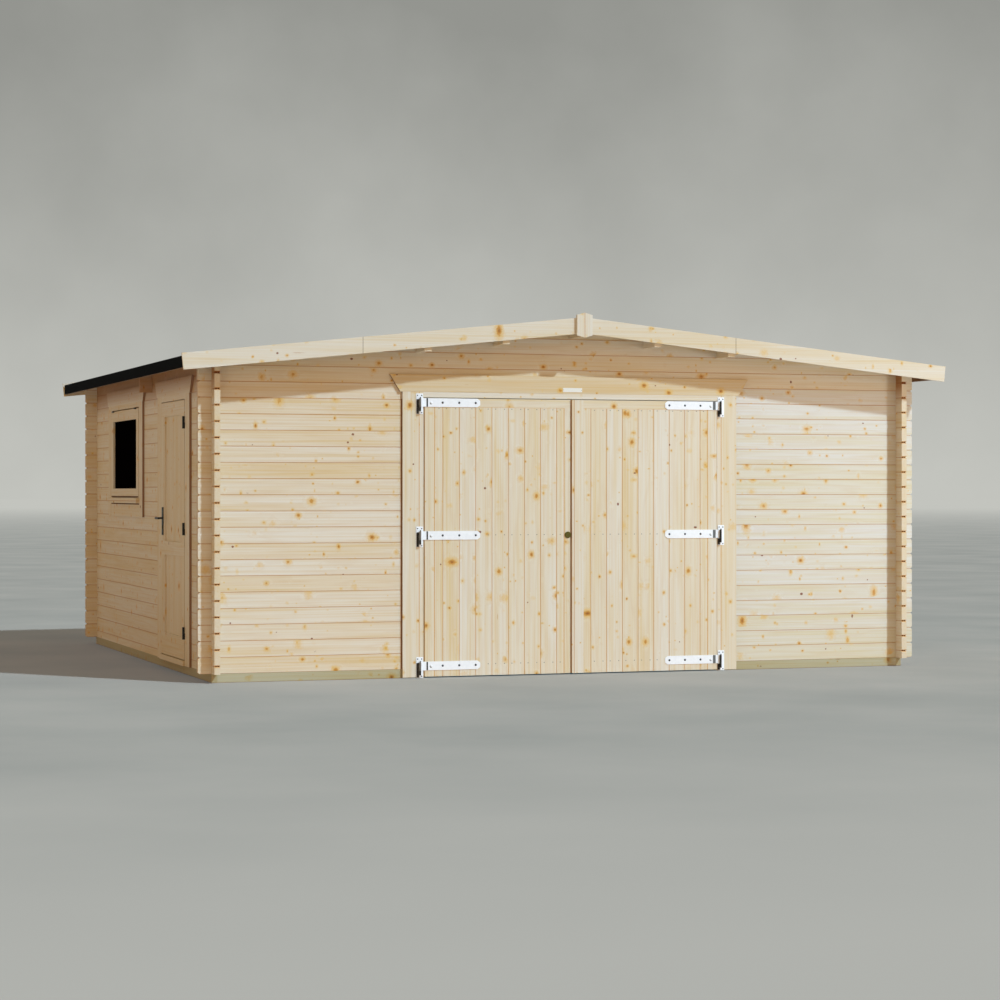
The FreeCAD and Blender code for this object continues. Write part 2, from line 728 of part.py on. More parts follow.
HALF_DOORWAY = "Sizes.doorway_width / 2"
LEAF_FACE = f"{FRONT} - Sizes.casing_thickness - Sizes.leaf_proud"
LEAF_BACK_DEPTH = "Sizes.leaf_thickness - Sizes.casing_thickness - Sizes.leaf_proud"
LEAF_TOP = f"{DOOR_TOP} - Sizes.head_height - Sizes.leaf_top_gap"
LEAF_EDGE = f"{HALF_DOORWAY} - Sizes.post_width - Sizes.leaf_side_gap"
PIN_ACROSS = f"{HALF_DOORWAY} - Sizes.hinge_pin_inset"
PIN_DEPTH = f"{FRONT} - Sizes.casing_thickness - Sizes.hinge_pin_stand_off"
STRAP_LEVELS = ("Sizes.top_strap_level", "Sizes.middle_strap_level", "Sizes.bottom_strap_level")


def leaf_ends(side):
    """Distance from the middle, towards the leaf's own side, of its meeting edge."""
    if side < 0:
        return "Sizes.meeting_offset + Sizes.meeting_gap"
    return "-Sizes.meeting_offset"


def leaf_board(name, side, near, far, depth, up):
    """A board of a leaf; near and far are distances from the middle towards the leaf's side."""
    low_x, high_x = between(side, near, far)
    return board(name, (low_x, depth[0], up[0]), (high_x, depth[1], up[1]))


def garage_leaf(side, word):
    """One leaf: a boarded face between two stiles, on rails and braces."""
    meeting = leaf_ends(side)
    inner_width = "Sizes.left_inner_stile_width" if side < 0 else "Sizes.right_inner_stile_width"
    planks_near = f"{meeting} + {inner_width}"
    planks_far = f"{LEAF_EDGE} - Sizes.outer_stile_width"
    back = f"{LEAF_FACE} + Sizes.leaf_thickness"
    planks_back = f"{LEAF_FACE} + Sizes.plank_thickness"
    low = "Sizes.leaf_ground_gap"
    planks_top = f"{LEAF_TOP} - Sizes.top_rail_height"
    full = (LEAF_FACE, back)
    behind = (planks_back, back)
    rail = "Sizes.rail_height"
    top_rail_low = f"{planks_top} - {rail} / 2"
    middle_low = f"Sizes.middle_rail_level - {rail} / 2"
    middle_high = f"Sizes.middle_rail_level + {rail} / 2"
    middle = (middle_low, middle_high)
    low_high = f"{low} + {rail}"
    pieces = [
        leaf_board(f"{word}_leaf_outer_stile", side, planks_far, LEAF_EDGE, full, (low, LEAF_TOP)),
        leaf_board(f"{word}_leaf_inner_stile", side, meeting, planks_near, full, (low, LEAF_TOP)),
        leaf_board(f"{word}_leaf_top_rail", side, planks_near, planks_far, full, (planks_top, LEAF_TOP)),
        leaf_board(f"{word}_leaf_top_ledge", side, planks_near, planks_far, behind, (top_rail_low, planks_top)),
        leaf_board(f"{word}_leaf_middle_ledge", side, planks_near, planks_far, behind, middle),
        leaf_board(f"{word}_leaf_bottom_ledge", side, planks_near, planks_far, behind, (low, low_high)),
        leaf_brace(f"{word}_leaf_upper_brace", side, planks_near, planks_far, middle_high, top_rail_low),
        leaf_brace(f"{word}_leaf_lower_brace", side, planks_near, planks_far, low_high, middle_low),
    ]
    keep(joined(f"{word}_leaf_frame", pieces), f"{word}_leaf_frame")
    low_x, high_x = between(side, planks_near, planks_far)
    boards = prism(f"{word}_leaf_boards", "front", rectangle(low_x, high_x, low, planks_top), LEAF_FACE,
                   "Sizes.plank_thickness")
    carve_plank_joints(boards, side, planks_far)
    keep(boards, f"{word}_leaf_boards")


def leaf_brace(name, side, near, far, low, high):
    """A slanted brace from the meeting edge above to the hinge edge below."""
    width = "Sizes.brace_width"
    outline = [(far, low), (far, f"{low} + {width}"), (near, high), (near, f"{high} - {width}")]
    if side < 0:
        outline = [(f"-({across})", up) for across, up in outline]
    start = f"{LEAF_FACE} + Sizes.plank_thickness"
    return prism(name, "front", outline, start, "Sizes.leaf_thickness - Sizes.plank_thickness")


def carve_plank_joints(body, side, planks_far):
    """The V joints between the upright planks, repeated at the plank pitch."""
    depth = "Sizes.plank_joint_depth"
    first = f"{side} * ({planks_far} - Sizes.first_plank_width)"
    outline = [(f"{first} - 2 * {depth}", f"{LEAF_FACE} - {depth}"), (first, f"{LEAF_FACE} + {depth}"),
               (f"{first} + 2 * {depth}", f"{LEAF_FACE} - {depth}")]
    before = body.Shape.Volume
    sketch = add_sketch(body, "plan", [outline], "0")
    pocket = body.newObject("PartDesign::Pocket", f"{body.Name}_joint")
    pocket.Profile = sketch
    pocket.Reversed = True
    pocket.setExpression("Length", LEAF_TOP)
    repeat = body.newObject("PartDesign::LinearPattern", f"{body.Name}_joints")
    repeat.Originals = [pocket]
    repeat.Direction = (origin_feature(body, "X_Axis"), [""])
    repeat.Reversed = side > 0
    count = f"floor(({planks_far} + {'-' if side > 0 else ''}Sizes.meeting_offset) / Sizes.plank_pitch)"
    repeat.setExpression("Occurrences", count)
    repeat.setExpression("Length", f"Sizes.plank_pitch * ({count} - 1)")
    body.Tip = repeat
    document.recompute()
    if not body.Shape.Volume < before:
        raise RuntimeError(f"a cut removed nothing from {body.Label}")


def strap_hinges(side, word):
    """Three strap hinges on a leaf, each rolled into a barrel around its pin."""
    straps = []
    for number, level in enumerate(STRAP_LEVELS, start=1):
        half = "Sizes.strap_height / 2"
        tip = f"{PIN_ACROSS} - Sizes.strap_length"
        neck = f"{tip} + Sizes.strap_point"
        outline = [(PIN_ACROSS, f"{level} - {half}"), (PIN_ACROSS, f"{level} + {half}"),
                   (neck, f"{level} + {half}"), (tip, f"{level} + {half} / 2"),
                   (tip, f"{level} - {half} / 2"), (neck, f"{level} - {half}")]
        plate = prism(f"{word}_strap_plate_{number}", "front", mirrored_outline(side, outline),
                      f"{LEAF_FACE} - Sizes.strap_thickness", "Sizes.strap_thickness")
        foot = (f"{side} * ({PIN_ACROSS})", PIN_DEPTH, f"{level} - {half}")
        barrel = rod(f"{word}_barrel_{number}", foot, "Sizes.hinge_barrel_radius", "Sizes.strap_height")
        bore_radius = "Sizes.hinge_pin_radius + Sizes.hinge_pin_clearance"
        bore = rod(f"{word}_bore_{number}", foot, bore_radius, "Sizes.strap_height")
        solid = joined(f"{word}_strap_solid_{number}", [plate, barrel])
        straps.append(without(f"{word}_strap_{number}", solid, bore))
    gathered(f"{word}_leaf_straps", straps)


def pintles():
    """Plates on the casings with the pins that the straps hang on."""
    pieces = []
    for side, word in ((-1, "left"), (1, "right")):
        for number, level in enumerate(STRAP_LEVELS, start=1):
            pieces.append(pintle(f"{word}_pintle_{number}", side, level))
    gathered("garage_hinge_plates", pieces)


def pintle(name, side, level):
    """A plate, a lug under the barrel and the pin that stands on it."""
    half_width = "Sizes.pintle_plate_width / 2"
    half_height = "Sizes.pintle_plate_height / 2"
    middle = f"{HALF_DOORWAY} + Sizes.pintle_plate_offset"
    low_x, high_x = between(side, f"{middle} - {half_width}", f"{middle} + {half_width}")
    centre = f"{level} - Sizes.pintle_plate_drop"
    casing_face = f"{FRONT} - Sizes.casing_thickness"
    plate_face = f"{casing_face} - Sizes.pintle_plate_thickness"
    plate = board(f"{name}_plate", (low_x, plate_face, f"{centre} - {half_height}"),
                  (high_x, casing_face, f"{centre} + {half_height}"))
    barrel_foot = f"{level} - Sizes.strap_height / 2 - Sizes.hinge_pin_clearance"
    lug_foot = f"{barrel_foot} - Sizes.pintle_lug_height"
    pin_x = f"{side} * ({PIN_ACROSS})"
    foot = (pin_x, PIN_DEPTH, lug_foot)
    lug = rod(f"{name}_lug", foot, "Sizes.hinge_barrel_radius", "Sizes.pintle_lug_height")
    web = board(f"{name}_web", (f"{pin_x} - Sizes.hinge_pin_radius", PIN_DEPTH, lug_foot),
                (f"{pin_x} + Sizes.hinge_pin_radius", casing_face, barrel_foot))
    pin_length = "Sizes.pintle_lug_height + Sizes.strap_height + Sizes.pintle_pin_rise"
    pin = rod(f"{name}_pin", foot, "Sizes.hinge_pin_radius", pin_length)
    return joined(name, [plate, lug, web, pin])


def leaf_extras():
    """The cover strip on the right leaf and the lock on the left leaf."""
    low_x, high_x = "-Sizes.meeting_offset", "-Sizes.meeting_offset + Sizes.cover_strip_width"
    keep(board("right_leaf_cover_strip",
               (low_x, f"{LEAF_FACE} - Sizes.cover_strip_thickness", "Sizes.leaf_ground_gap"),
               (high_x, LEAF_FACE, LEAF_TOP)), "right_leaf_cover_strip")
    lock_x = "-(Sizes.meeting_offset + Sizes.meeting_gap + Sizes.lock_inset)"
    rose = rod("lock_rose", (lock_x, LEAF_FACE, "Sizes.lock_level"), "Sizes.lock_rose_radius",
               "Sizes.lock_rose_thickness", "-y")
    rounded = document.addObject("Part::Chamfer", "left_leaf_lock")
    rounded.Base = rose
    document.recompute()
    rim = [number for number, edge in enumerate(rose.Shape.Edges, start=1)
           if len(edge.Vertexes) == 1 and edge.BoundBox.YMax < size_of(LEAF_FACE) - 1]
    bevel = size_of("Sizes.lock_rose_bevel")
    rounded.Edges = [(number, bevel, bevel) for number in rim]
    keep(rounded, "left_leaf_lock")


def garage_doorway():
    """Everything around and in the garage doorway."""
    door_posts("garage_posts", "front", "0", HALF_DOORWAY, "0", LEAF_BACK_DEPTH)
    door_head("garage_head", "front", "0", HALF_DOORWAY, LEAF_BACK_DEPTH)
    casings("garage_casings", "front", "0", HALF_DOORWAY, "Sizes.casing_ground_gap")
    header_board("garage_header_board", "front", "0", HALF_DOORWAY)
    garage_leaf(-1, "left")
    garage_leaf(1, "right")
    strap_hinges(-1, "left")
    strap_hinges(1, "right")
    pintles()
    leaf_extras()


# Side door

SIDE_FACE = f"{LEFT} - Sizes.casing_thickness - Sizes.side_leaf_proud"
SIDE_BACK_DEPTH = "Sizes.side_leaf_thickness - Sizes.casing_thickness - Sizes.side_leaf_proud"
SIDE_LEAF_HALF = f"{HALF_SIDE_DOORWAY} - Sizes.post_width - Sizes.side_leaf_side_gap"
SIDE_LEAF_LOW = f"{BASE} + Sizes.threshold_height + Sizes.side_leaf_side_gap"
SIDE_LEAF_TOP = f"{DOOR_TOP} - Sizes.head_height - Sizes.side_leaf_top_gap"
SIDE_PIN_ALONG = f"{SIDE_DOOR} - ({SIDE_LEAF_HALF}) - Sizes.side_leaf_side_gap / 2"
SIDE_PIN_X = f"{LEFT} - Sizes.casing_thickness - Sizes.side_hinge_stand_off"


def side_door_leaf():
    """A framed leaf with two panels sunk into both faces."""
    near = f"{SIDE_DOOR} - ({SIDE_LEAF_HALF})"
    far = f"{SIDE_DOOR} + {SIDE_LEAF_HALF}"
    body = prism("side_door_leaf", "side", rectangle(near, far, SIDE_LEAF_LOW, SIDE_LEAF_TOP), SIDE_FACE,
                 "Sizes.side_leaf_thickness")
    stile = "Sizes.panel_stile_width"
    panels = [rectangle(f"{near} + {stile}", f"{far} - {stile}", low, high)
              for low, high in (("Sizes.lower_panel_bottom", "Sizes.lower_panel_top"),
                                ("Sizes.upper_panel_bottom", "Sizes.upper_panel_top"))]
    back = f"{SIDE_FACE} + Sizes.side_leaf_thickness"
    carve(body, "side", panels, f"{SIDE_FACE} - {CUT_MARGIN}", f"Sizes.panel_recess + {CUT_MARGIN}")
    carve(body, "side", panels, f"{back} - Sizes.panel_recess", f"Sizes.panel_recess + {CUT_MARGIN}")
    keep(body, "side_door_leaf")


def side_hinges():
    """Lift-off hinges: the lower half with its pin on the casing, the upper half on the leaf."""
    lower, upper = [], []
    half = "Sizes.side_hinge_height / 2"
    radius = "Sizes.side_hinge_radius"
    width = "Sizes.side_hinge_plate_width"
    thick = "Sizes.side_hinge_plate_thickness"
    gap = "Sizes.hinge_pin_clearance"
    rise = "Sizes.side_hinge_pin_rise"
    casing_face = f"{LEFT} - Sizes.casing_thickness"
    plate_x = f"{SIDE_PIN_X} + {radius} - {thick}"
    levels = ("Sizes.side_top_hinge_level", "Sizes.side_middle_hinge_level", "Sizes.side_bottom_hinge_level")
    for number, level in enumerate(levels, start=1):
        foot = (SIDE_PIN_X, SIDE_PIN_ALONG, f"{level} - {half}")
        barrel = rod(f"side_knuckle_{number}", foot, radius, f"{half} - {gap} / 2")
        plate = board(f"side_plate_{number}", (plate_x, f"{SIDE_PIN_ALONG} - {width}", f"{level} - {half}"),
                      (casing_face, f"{SIDE_PIN_ALONG} - {gap}", f"{level} - {gap} / 2"))
        pin = rod(f"side_pin_{number}", foot, "Sizes.side_hinge_pin_radius", f"{half} + {rise}")
        lower.append(joined(f"side_lower_hinge_{number}", [barrel, plate, pin]))
        start = (SIDE_PIN_X, SIDE_PIN_ALONG, f"{level} + {gap} / 2")
        knuckle = rod(f"side_leaf_knuckle_{number}", start, radius, f"{half} - {gap} / 2")
        leaf_plate = board(f"side_leaf_plate_{number}",
                           (plate_x, f"{SIDE_PIN_ALONG} + {gap}", f"{level} + {gap} / 2"),
                           (SIDE_FACE, f"{SIDE_PIN_ALONG} + {width}", f"{level} + {half}"))
        bore = rod(f"side_bore_{number}", start, f"Sizes.side_hinge_pin_radius + {gap}",
                   f"{rise} + Sizes.side_hinge_pin_end_gap - {gap} / 2")
        solid = joined(f"side_upper_solid_{number}", [knuckle, leaf_plate])
        upper.append(without(f"side_upper_hinge_{number}", solid, bore))
    gathered("side_door_hinge_pins", lower)
    gathered("side_door_hinge_sleeves", upper)


def side_handle():
    """A long handle plate and the lever that turns in front of it."""
    along = f"{SIDE_DOOR} + {SIDE_LEAF_HALF} - Sizes.handle_backset"
    half_width = "Sizes.handle_plate_width / 2"
    half_height = "Sizes.handle_plate_height / 2"
    plate_face = f"{SIDE_FACE} - Sizes.handle_plate_thickness"
    keep(board("side_door_handle_plate",
               (plate_face, f"{along} - {half_width}", f"Sizes.handle_plate_level - {half_height}"),
               (SIDE_FACE, f"{along} + {half_width}", f"Sizes.handle_plate_level + {half_height}")),
         "side_door_handle_plate")
    neck_start = (f"{plate_face} - Sizes.lever_clearance", along, "Sizes.lever_level")
    neck = rod("lever_neck", neck_start, "Sizes.lever_neck_radius", "Sizes.lever_neck_length", "-x")
    grip_x = f"{plate_face} - Sizes.lever_clearance - Sizes.lever_neck_length"
    grip_start = (grip_x, f"{along} + Sizes.lever_grip_radius", "Sizes.lever_level")
    grip = rod("lever_grip", grip_start, "Sizes.lever_grip_radius",
               "Sizes.lever_grip_length + Sizes.lever_grip_radius", "-y")
    keep(joined("side_door_lever", [neck, grip]), "side_door_lever")


def side_doorway():
    """Everything around and in the side doorway."""
    door_posts("side_door_posts", "side", SIDE_DOOR, HALF_SIDE_DOORWAY, BASE, SIDE_BACK_DEPTH)
    door_head("side_door_head", "side", SIDE_DOOR, HALF_SIDE_DOORWAY, SIDE_BACK_DEPTH)
    casings("side_door_casings", "side", SIDE_DOOR, HALF_SIDE_DOORWAY, BASE)
    header_board("side_door_header_board", "side", SIDE_DOOR, HALF_SIDE_DOORWAY)
    half = f"{HALF_SIDE_DOORWAY} - Sizes.post_width"
    inner_half = f"{half} - Sizes.stop_width"
    outer = wall_board("threshold_outer", "side", (f"{SIDE_DOOR} - ({half})", f"{SIDE_DOOR} + {half}"),
                       ("-Sizes.threshold_reach", f"{SIDE_BACK_DEPTH} + Sizes.stop_gap"),
                       (BASE, f"{BASE} + Sizes.threshold_height"))
    across = (f"{SIDE_DOOR} - ({inner_half})", f"{SIDE_DOOR} + {inner_half}")
    inner = wall_board("threshold_inner", "side", across, (f"{SIDE_BACK_DEPTH} + Sizes.stop_gap", WALL),
                       (BASE, f"{BASE} + Sizes.threshold_height"))
    keep(joined("side_door_threshold", [outer, inner]), "side_door_threshold")
    side_door_leaf()
    side_hinges()
    side_handle()


# Window

def window_ring(name, half, low, high, depth):
    """A solid block in the window opening, used for rings and the holes in them."""
    return wall_board(name, "side", (f"{WINDOW} - ({half})", f"{WINDOW} + {half}"), depth, (low, high))


def window():
    """Frame, sash, glass, sill and trim of the top-hung window."""
    low = "Sizes.window_bottom"
    frame_width = "Sizes.window_frame_width"
    frame_depth = ("0", f"{WALL} + Sizes.casing_thickness")
    frame_top = f"{DOOR_TOP} - Sizes.head_height"
    frame_low = f"{low} + {frame_width}"
    in_wall = window_ring("window_frame_in_wall", HALF_WINDOW, low, DOOR_TOP, frame_depth)
    front = window_ring("window_frame_front", HALF_WINDOW, frame_low, DOOR_TOP,
                        ("-Sizes.casing_thickness", "0"))
    block = joined("window_frame_block", [in_wall, front])
    back = "Sizes.sash_thickness - Sizes.sash_proud"
    stop = f"{back} + Sizes.sash_closing_gap"
    stop_width = "Sizes.sash_stop_width"
    hole_half = f"{HALF_WINDOW} - {frame_width}"
    outside = f"-Sizes.casing_thickness - {CUT_MARGIN}"
    hole_outer = window_ring("window_frame_rebate", hole_half, frame_low, frame_top, (outside, stop))
    through = (outside, f"{frame_depth[1]} + {CUT_MARGIN}")
    hole_inner = window_ring("window_frame_hole", f"{hole_half} - {stop_width}", f"{frame_low} + {stop_width}",
                             f"{frame_top} - {stop_width}", through)
    opening = joined("window_frame_opening", [hole_outer, hole_inner])
    keep(without("window_frame", block, opening), "window_frame")
    gap = "Sizes.sash_gap"
    sash_half = f"{HALF_WINDOW} - {frame_width} - {gap}"
    sash_low = f"{frame_low} + {gap}"
    sash_high = f"{frame_top} - Sizes.sash_top_gap"
    face = "-Sizes.sash_proud"
    glass_face = "Sizes.glass_setback - Sizes.sash_proud"
    glass_half = f"{sash_half} - Sizes.sash_stile_width"
    glass_low = f"{sash_low} + Sizes.sash_bottom_rail_height"
    glass_high = f"{sash_high} - Sizes.sash_top_rail_height"
    rebate = "Sizes.glass_rebate"
    sash_block = window_ring("sash_block", sash_half, sash_low, sash_high, (face, back))
    opening = window_ring("sash_opening", glass_half, glass_low, glass_high, (f"{face} - {CUT_MARGIN}", back))
    seat = window_ring("sash_rebate", f"{glass_half} + {rebate}", f"{glass_low} - {rebate}",
                       f"{glass_high} + {rebate}", (glass_face, f"{back} + {CUT_MARGIN}"))
    keep(without("window_sash", sash_block, joined("sash_hole", [opening, seat])), "window_sash")
    keep(window_ring("window_glass", f"{glass_half} + {rebate}", f"{glass_low} - {rebate}",
                     f"{glass_high} + {rebate}", (glass_face, f"{glass_face} + Sizes.glass_thickness")),
         "window_glass")
    sill_low = f"{frame_low} - Sizes.sill_height"
    across = (f"{WINDOW} - {HALF_WINDOW}", f"{WINDOW} + {HALF_WINDOW}")
    sill = wall_board("window_sill", "side", across, ("-Sizes.sill_reach", "0"), (sill_low, frame_low))
    keep(sill, "window_sill")
    casing_low = f"{sill_low} - Sizes.lower_casing_height"
    lower_casing = wall_board("window_lower_casing", "side", across, ("-Sizes.casing_thickness", "0"),
                              (casing_low, sill_low))
    keep(lower_casing, "window_lower_casing")
    casings("window_casings", "side", WINDOW, HALF_WINDOW, casing_low)
    header_board("window_header_board", "side", WINDOW, HALF_WINDOW)
    hinges = []
    radius = "Sizes.window_hinge_radius"
    for side, word in ((-1, "near"), (1, "far")):
        middle = f"{WINDOW} + {side} * ({sash_half} - Sizes.window_hinge_inset)"
        start = f"{middle} - Sizes.window_hinge_length / 2"
        end = (f"{LEFT} - Sizes.sash_proud - {radius}", start, sash_high)
        hinges.append(rod(f"window_hinge_{word}", end, radius, "Sizes.window_hinge_length", "y"))
    gathered("window_hinges", hinges)


# The whole garage

sole_beams()
front_and_back_walls()
side_walls()
tie_beam()
purlins()
gathered("eave_boards", [roof_slope(-1, "left"), roof_slope(1, "right")])
barge_pair(-1, "left")
barge_pair(1, "right")
apex_blocks()
garage_doorway()
side_doorway()
window()
document.recompute()

# Every object has to be sound before anything is written

for item in document.Objects:
    if "Invalid" in item.State or "Error" in item.State:
        raise RuntimeError(f"{item.Label} could not be built: {item.State}")
for piece in SUB_PARTS:
    if piece.Shape.isNull() or not piece.Shape.isValid():
        raise RuntimeError(f"{piece.Label} has no sound shape")

os.makedirs("parts", exist_ok=True)
for piece in SUB_PARTS:
    piece.Shape.exportStep(f"parts/{piece.Label}.step")
    box = piece.Shape.BoundBox
    print(f"{piece.Label}: {len(piece.Shape.Solids)} solid(s), {piece.Shape.Volume / 1e9:.4f} m3,"
          f" {box.XLength:.0f} x {box.YLength:.0f} x {box.ZLength:.0f} mm")
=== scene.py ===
# %% [markdown]
# # Dressing a log garage
# The timber frame comes in bare: stacked logs, a low gable roof, two garage leaves, a side door and a window.
# This lesson gives each piece the finish of the real one, adds the small parts that a carpenter puts on last,
# and lights it like the studio picture of a new garage. All places are in metres, with +Y from the front to the back.

# %% Load the frame
import math

import bpy
import numpy as np
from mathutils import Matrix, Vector


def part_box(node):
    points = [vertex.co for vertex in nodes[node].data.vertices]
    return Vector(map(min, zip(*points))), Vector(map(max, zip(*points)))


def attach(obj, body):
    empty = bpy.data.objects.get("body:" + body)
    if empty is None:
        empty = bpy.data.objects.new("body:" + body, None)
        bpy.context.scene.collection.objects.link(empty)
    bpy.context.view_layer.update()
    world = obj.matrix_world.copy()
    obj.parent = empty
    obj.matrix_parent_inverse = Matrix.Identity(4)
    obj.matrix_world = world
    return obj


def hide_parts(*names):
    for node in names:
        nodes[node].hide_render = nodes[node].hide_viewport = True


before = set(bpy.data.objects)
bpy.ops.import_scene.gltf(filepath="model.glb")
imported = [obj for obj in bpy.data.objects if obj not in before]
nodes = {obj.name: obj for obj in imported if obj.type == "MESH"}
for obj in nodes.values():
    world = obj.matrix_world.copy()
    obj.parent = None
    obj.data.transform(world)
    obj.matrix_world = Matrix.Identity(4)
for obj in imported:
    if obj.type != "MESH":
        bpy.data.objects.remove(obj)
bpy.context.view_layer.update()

# %% [markdown]
# ## Colours
# Colours are given as sRGB hex values, but a renderer adds and multiplies light, so it needs linear ones.
# One function does that turn, and nothing else in the lesson writes a colour in another form.

# %% From sRGB hex to linear
def linear(code):
    """Each channel over 255, then the sRGB curve undone: c / 12.92 near black, else ((c + 0.055) / 1.055) ^ 2.4."""
    channels = np.array([int(code[place:place + 2], 16) for place in (1, 3, 5)]) / 255
    straight = np.where(channels <= 0.04045, channels / 12.92, ((channels + 0.055) / 1.055) ** 2.4)
    return (*straight.tolist(), 1.0)


print("mid grey in linear:", [round(value, 3) for value in linear("#808080")[:3]])

# %% [markdown]
# ## One way to add a node
# A material is a small graph. Adding a node always means the same three things: choose its kind, choose its
# settings, and feed its inputs with a number or with another node's output.

# %% Add a node
def add(tree, kind, inputs=(), **settings):
    """A new node of a kind, with its settings set by name and its inputs set or linked.

    A kind is written without the word ShaderNode, apart from the two ends of a group."""
    node = tree.nodes.new(kind if kind.startswith("NodeGroup") else "ShaderNode" + kind)
    for name, value in settings.items():
        setattr(node, name, value)
    for name, value in dict(inputs).items():
        socket = node.inputs[name]
        if isinstance(value, bpy.types.NodeSocket):
            tree.links.new(value, socket)
        else:
            socket.default_value = value
    return node


def empty_material(name):
    """A material without nodes, and its tree."""
    material = bpy.data.materials.new(name)
    material.use_nodes = True
    material.node_tree.nodes.clear()
    return material, material.node_tree


def finish_material(material, shader_inputs):
    """Give a material its Principled shader with the given inputs."""
    tree = material.node_tree
    shader = add(tree, "BsdfPrincipled", shader_inputs)
    add(tree, "OutputMaterial", {"Surface": shader.outputs[0]})
    return material


# %% [markdown]
# ## Spruce
# Everything but the hardware and the roof covering is planed spruce. Three things make it look like spruce:
# yearly rings, knots where branches grew, and small differences from one board to the next.
# The rings are cylinders round a pith that lies somewhere behind each board, so one formula draws flames on the
# broad face and arcs on the end grain. The knots are points of a Voronoi pattern that run through the wood.

# %% Spruce as a node group
RING_WIDTH = 0.0065   # Real rings are 2 to 4 mm. They are drawn this coarse so that they show from 20 m.
KNOT_SPACING = (0.22, 0.115, 0.16)
PIN_KNOT_SPACING = (0.12, 0.06, 0.09)
DASH_SPACING = (0.45, 0.09, 0.3)
DARK_KNOT_SPACING = (0.31, 0.12, 0.3)
JOINT_STAIN = 0.004   # How far from a joint the edges of a board look orange.
TURN = 2 * math.pi


def knot_field(group, place, spacing, smallest, spread, shown, along_share=0.85):
    """Distance to the nearest knot over that knot's radius.

    The Voronoi cell gives the knot's middle. The way from it is measured in metres, flattened in depth, since a
    branch runs through a board, and across by a random share, since some branches were sawn lengthwise. Then it
    is divided by a radius of smallest + spread * random ^ 3. Branches grow in whorls, so a knot is there only if
    its random number is below shown times a crowd that changes along the grain."""
    cells = add(group, "VectorMath", {0: place, 1: spacing}, operation="DIVIDE").outputs[0]
    voronoi = add(group, "TexVoronoi", {"Vector": cells, "Scale": 1.0, "Randomness": 0.95})
    away = add(group, "VectorMath", {0: cells, 1: voronoi.outputs["Position"]}, operation="SUBTRACT")
    metres = add(group, "VectorMath", {0: away.outputs[0], 1: spacing}, operation="MULTIPLY")
    dice = add(group, "SeparateColor", {"Color": voronoi.outputs["Color"]})
    across_share = add(group, "MapRange", {"Value": dice.outputs[2], 1: 0.0, 2: 0.35, 3: 0.4, 4: 1.0})
    shares = add(group, "CombineXYZ", {0: along_share, 1: across_share.outputs[0], 2: 0.3}).outputs[0]
    flat = add(group, "VectorMath", {0: metres.outputs[0], 1: shares}, operation="MULTIPLY")
    distance = add(group, "VectorMath", {0: flat.outputs[0]}, operation="LENGTH").outputs["Value"]
    cubed = add(group, "Math", {0: dice.outputs[0], 1: 3.0}, operation="POWER").outputs[0]
    radius = add(group, "Math", {0: cubed, 1: spread, 2: smallest}, operation="MULTIPLY_ADD").outputs[0]
    middle = add(group, "VectorMath", {0: voronoi.outputs["Position"], 1: spacing}, operation="MULTIPLY")
    along = add(group, "SeparateXYZ", {0: middle.outputs[0]}).outputs[0]
    crowd = add(group, "TexNoise", {"W": along, "Scale": 3.6, "Detail": 1.0}, noise_dimensions="1D")
    limit = add(group, "MapRange", {"Value": crowd.outputs[0], 1: 0.42, 2: 0.6,
                                    3: 0.3 * shown, 4: 1.7 * shown}).outputs[0]
    there = add(group, "Math", {0: dice.outputs[1], 1: limit}, operation="LESS_THAN").outputs[0]
    size = add(group, "Math", {0: radius, 1: there}, operation="MULTIPLY").outputs[0]
    safe = add(group, "Math", {0: size, 1: 0.00001}, operation="ADD").outputs[0]
    wobble = add(group, "TexNoise", {"Vector": place, "Scale": 70.0, "Detail": 2.0}).outputs[0]
    rough = add(group, "Math", {0: wobble, 1: 0.9, 2: 0.55}, operation="MULTIPLY_ADD").outputs[0]
    ragged = add(group, "Math", {0: distance, 1: rough}, operation="MULTIPLY").outputs[0]
    return add(group, "Math", {0: ragged, 1: safe}, operation="DIVIDE").outputs[0]


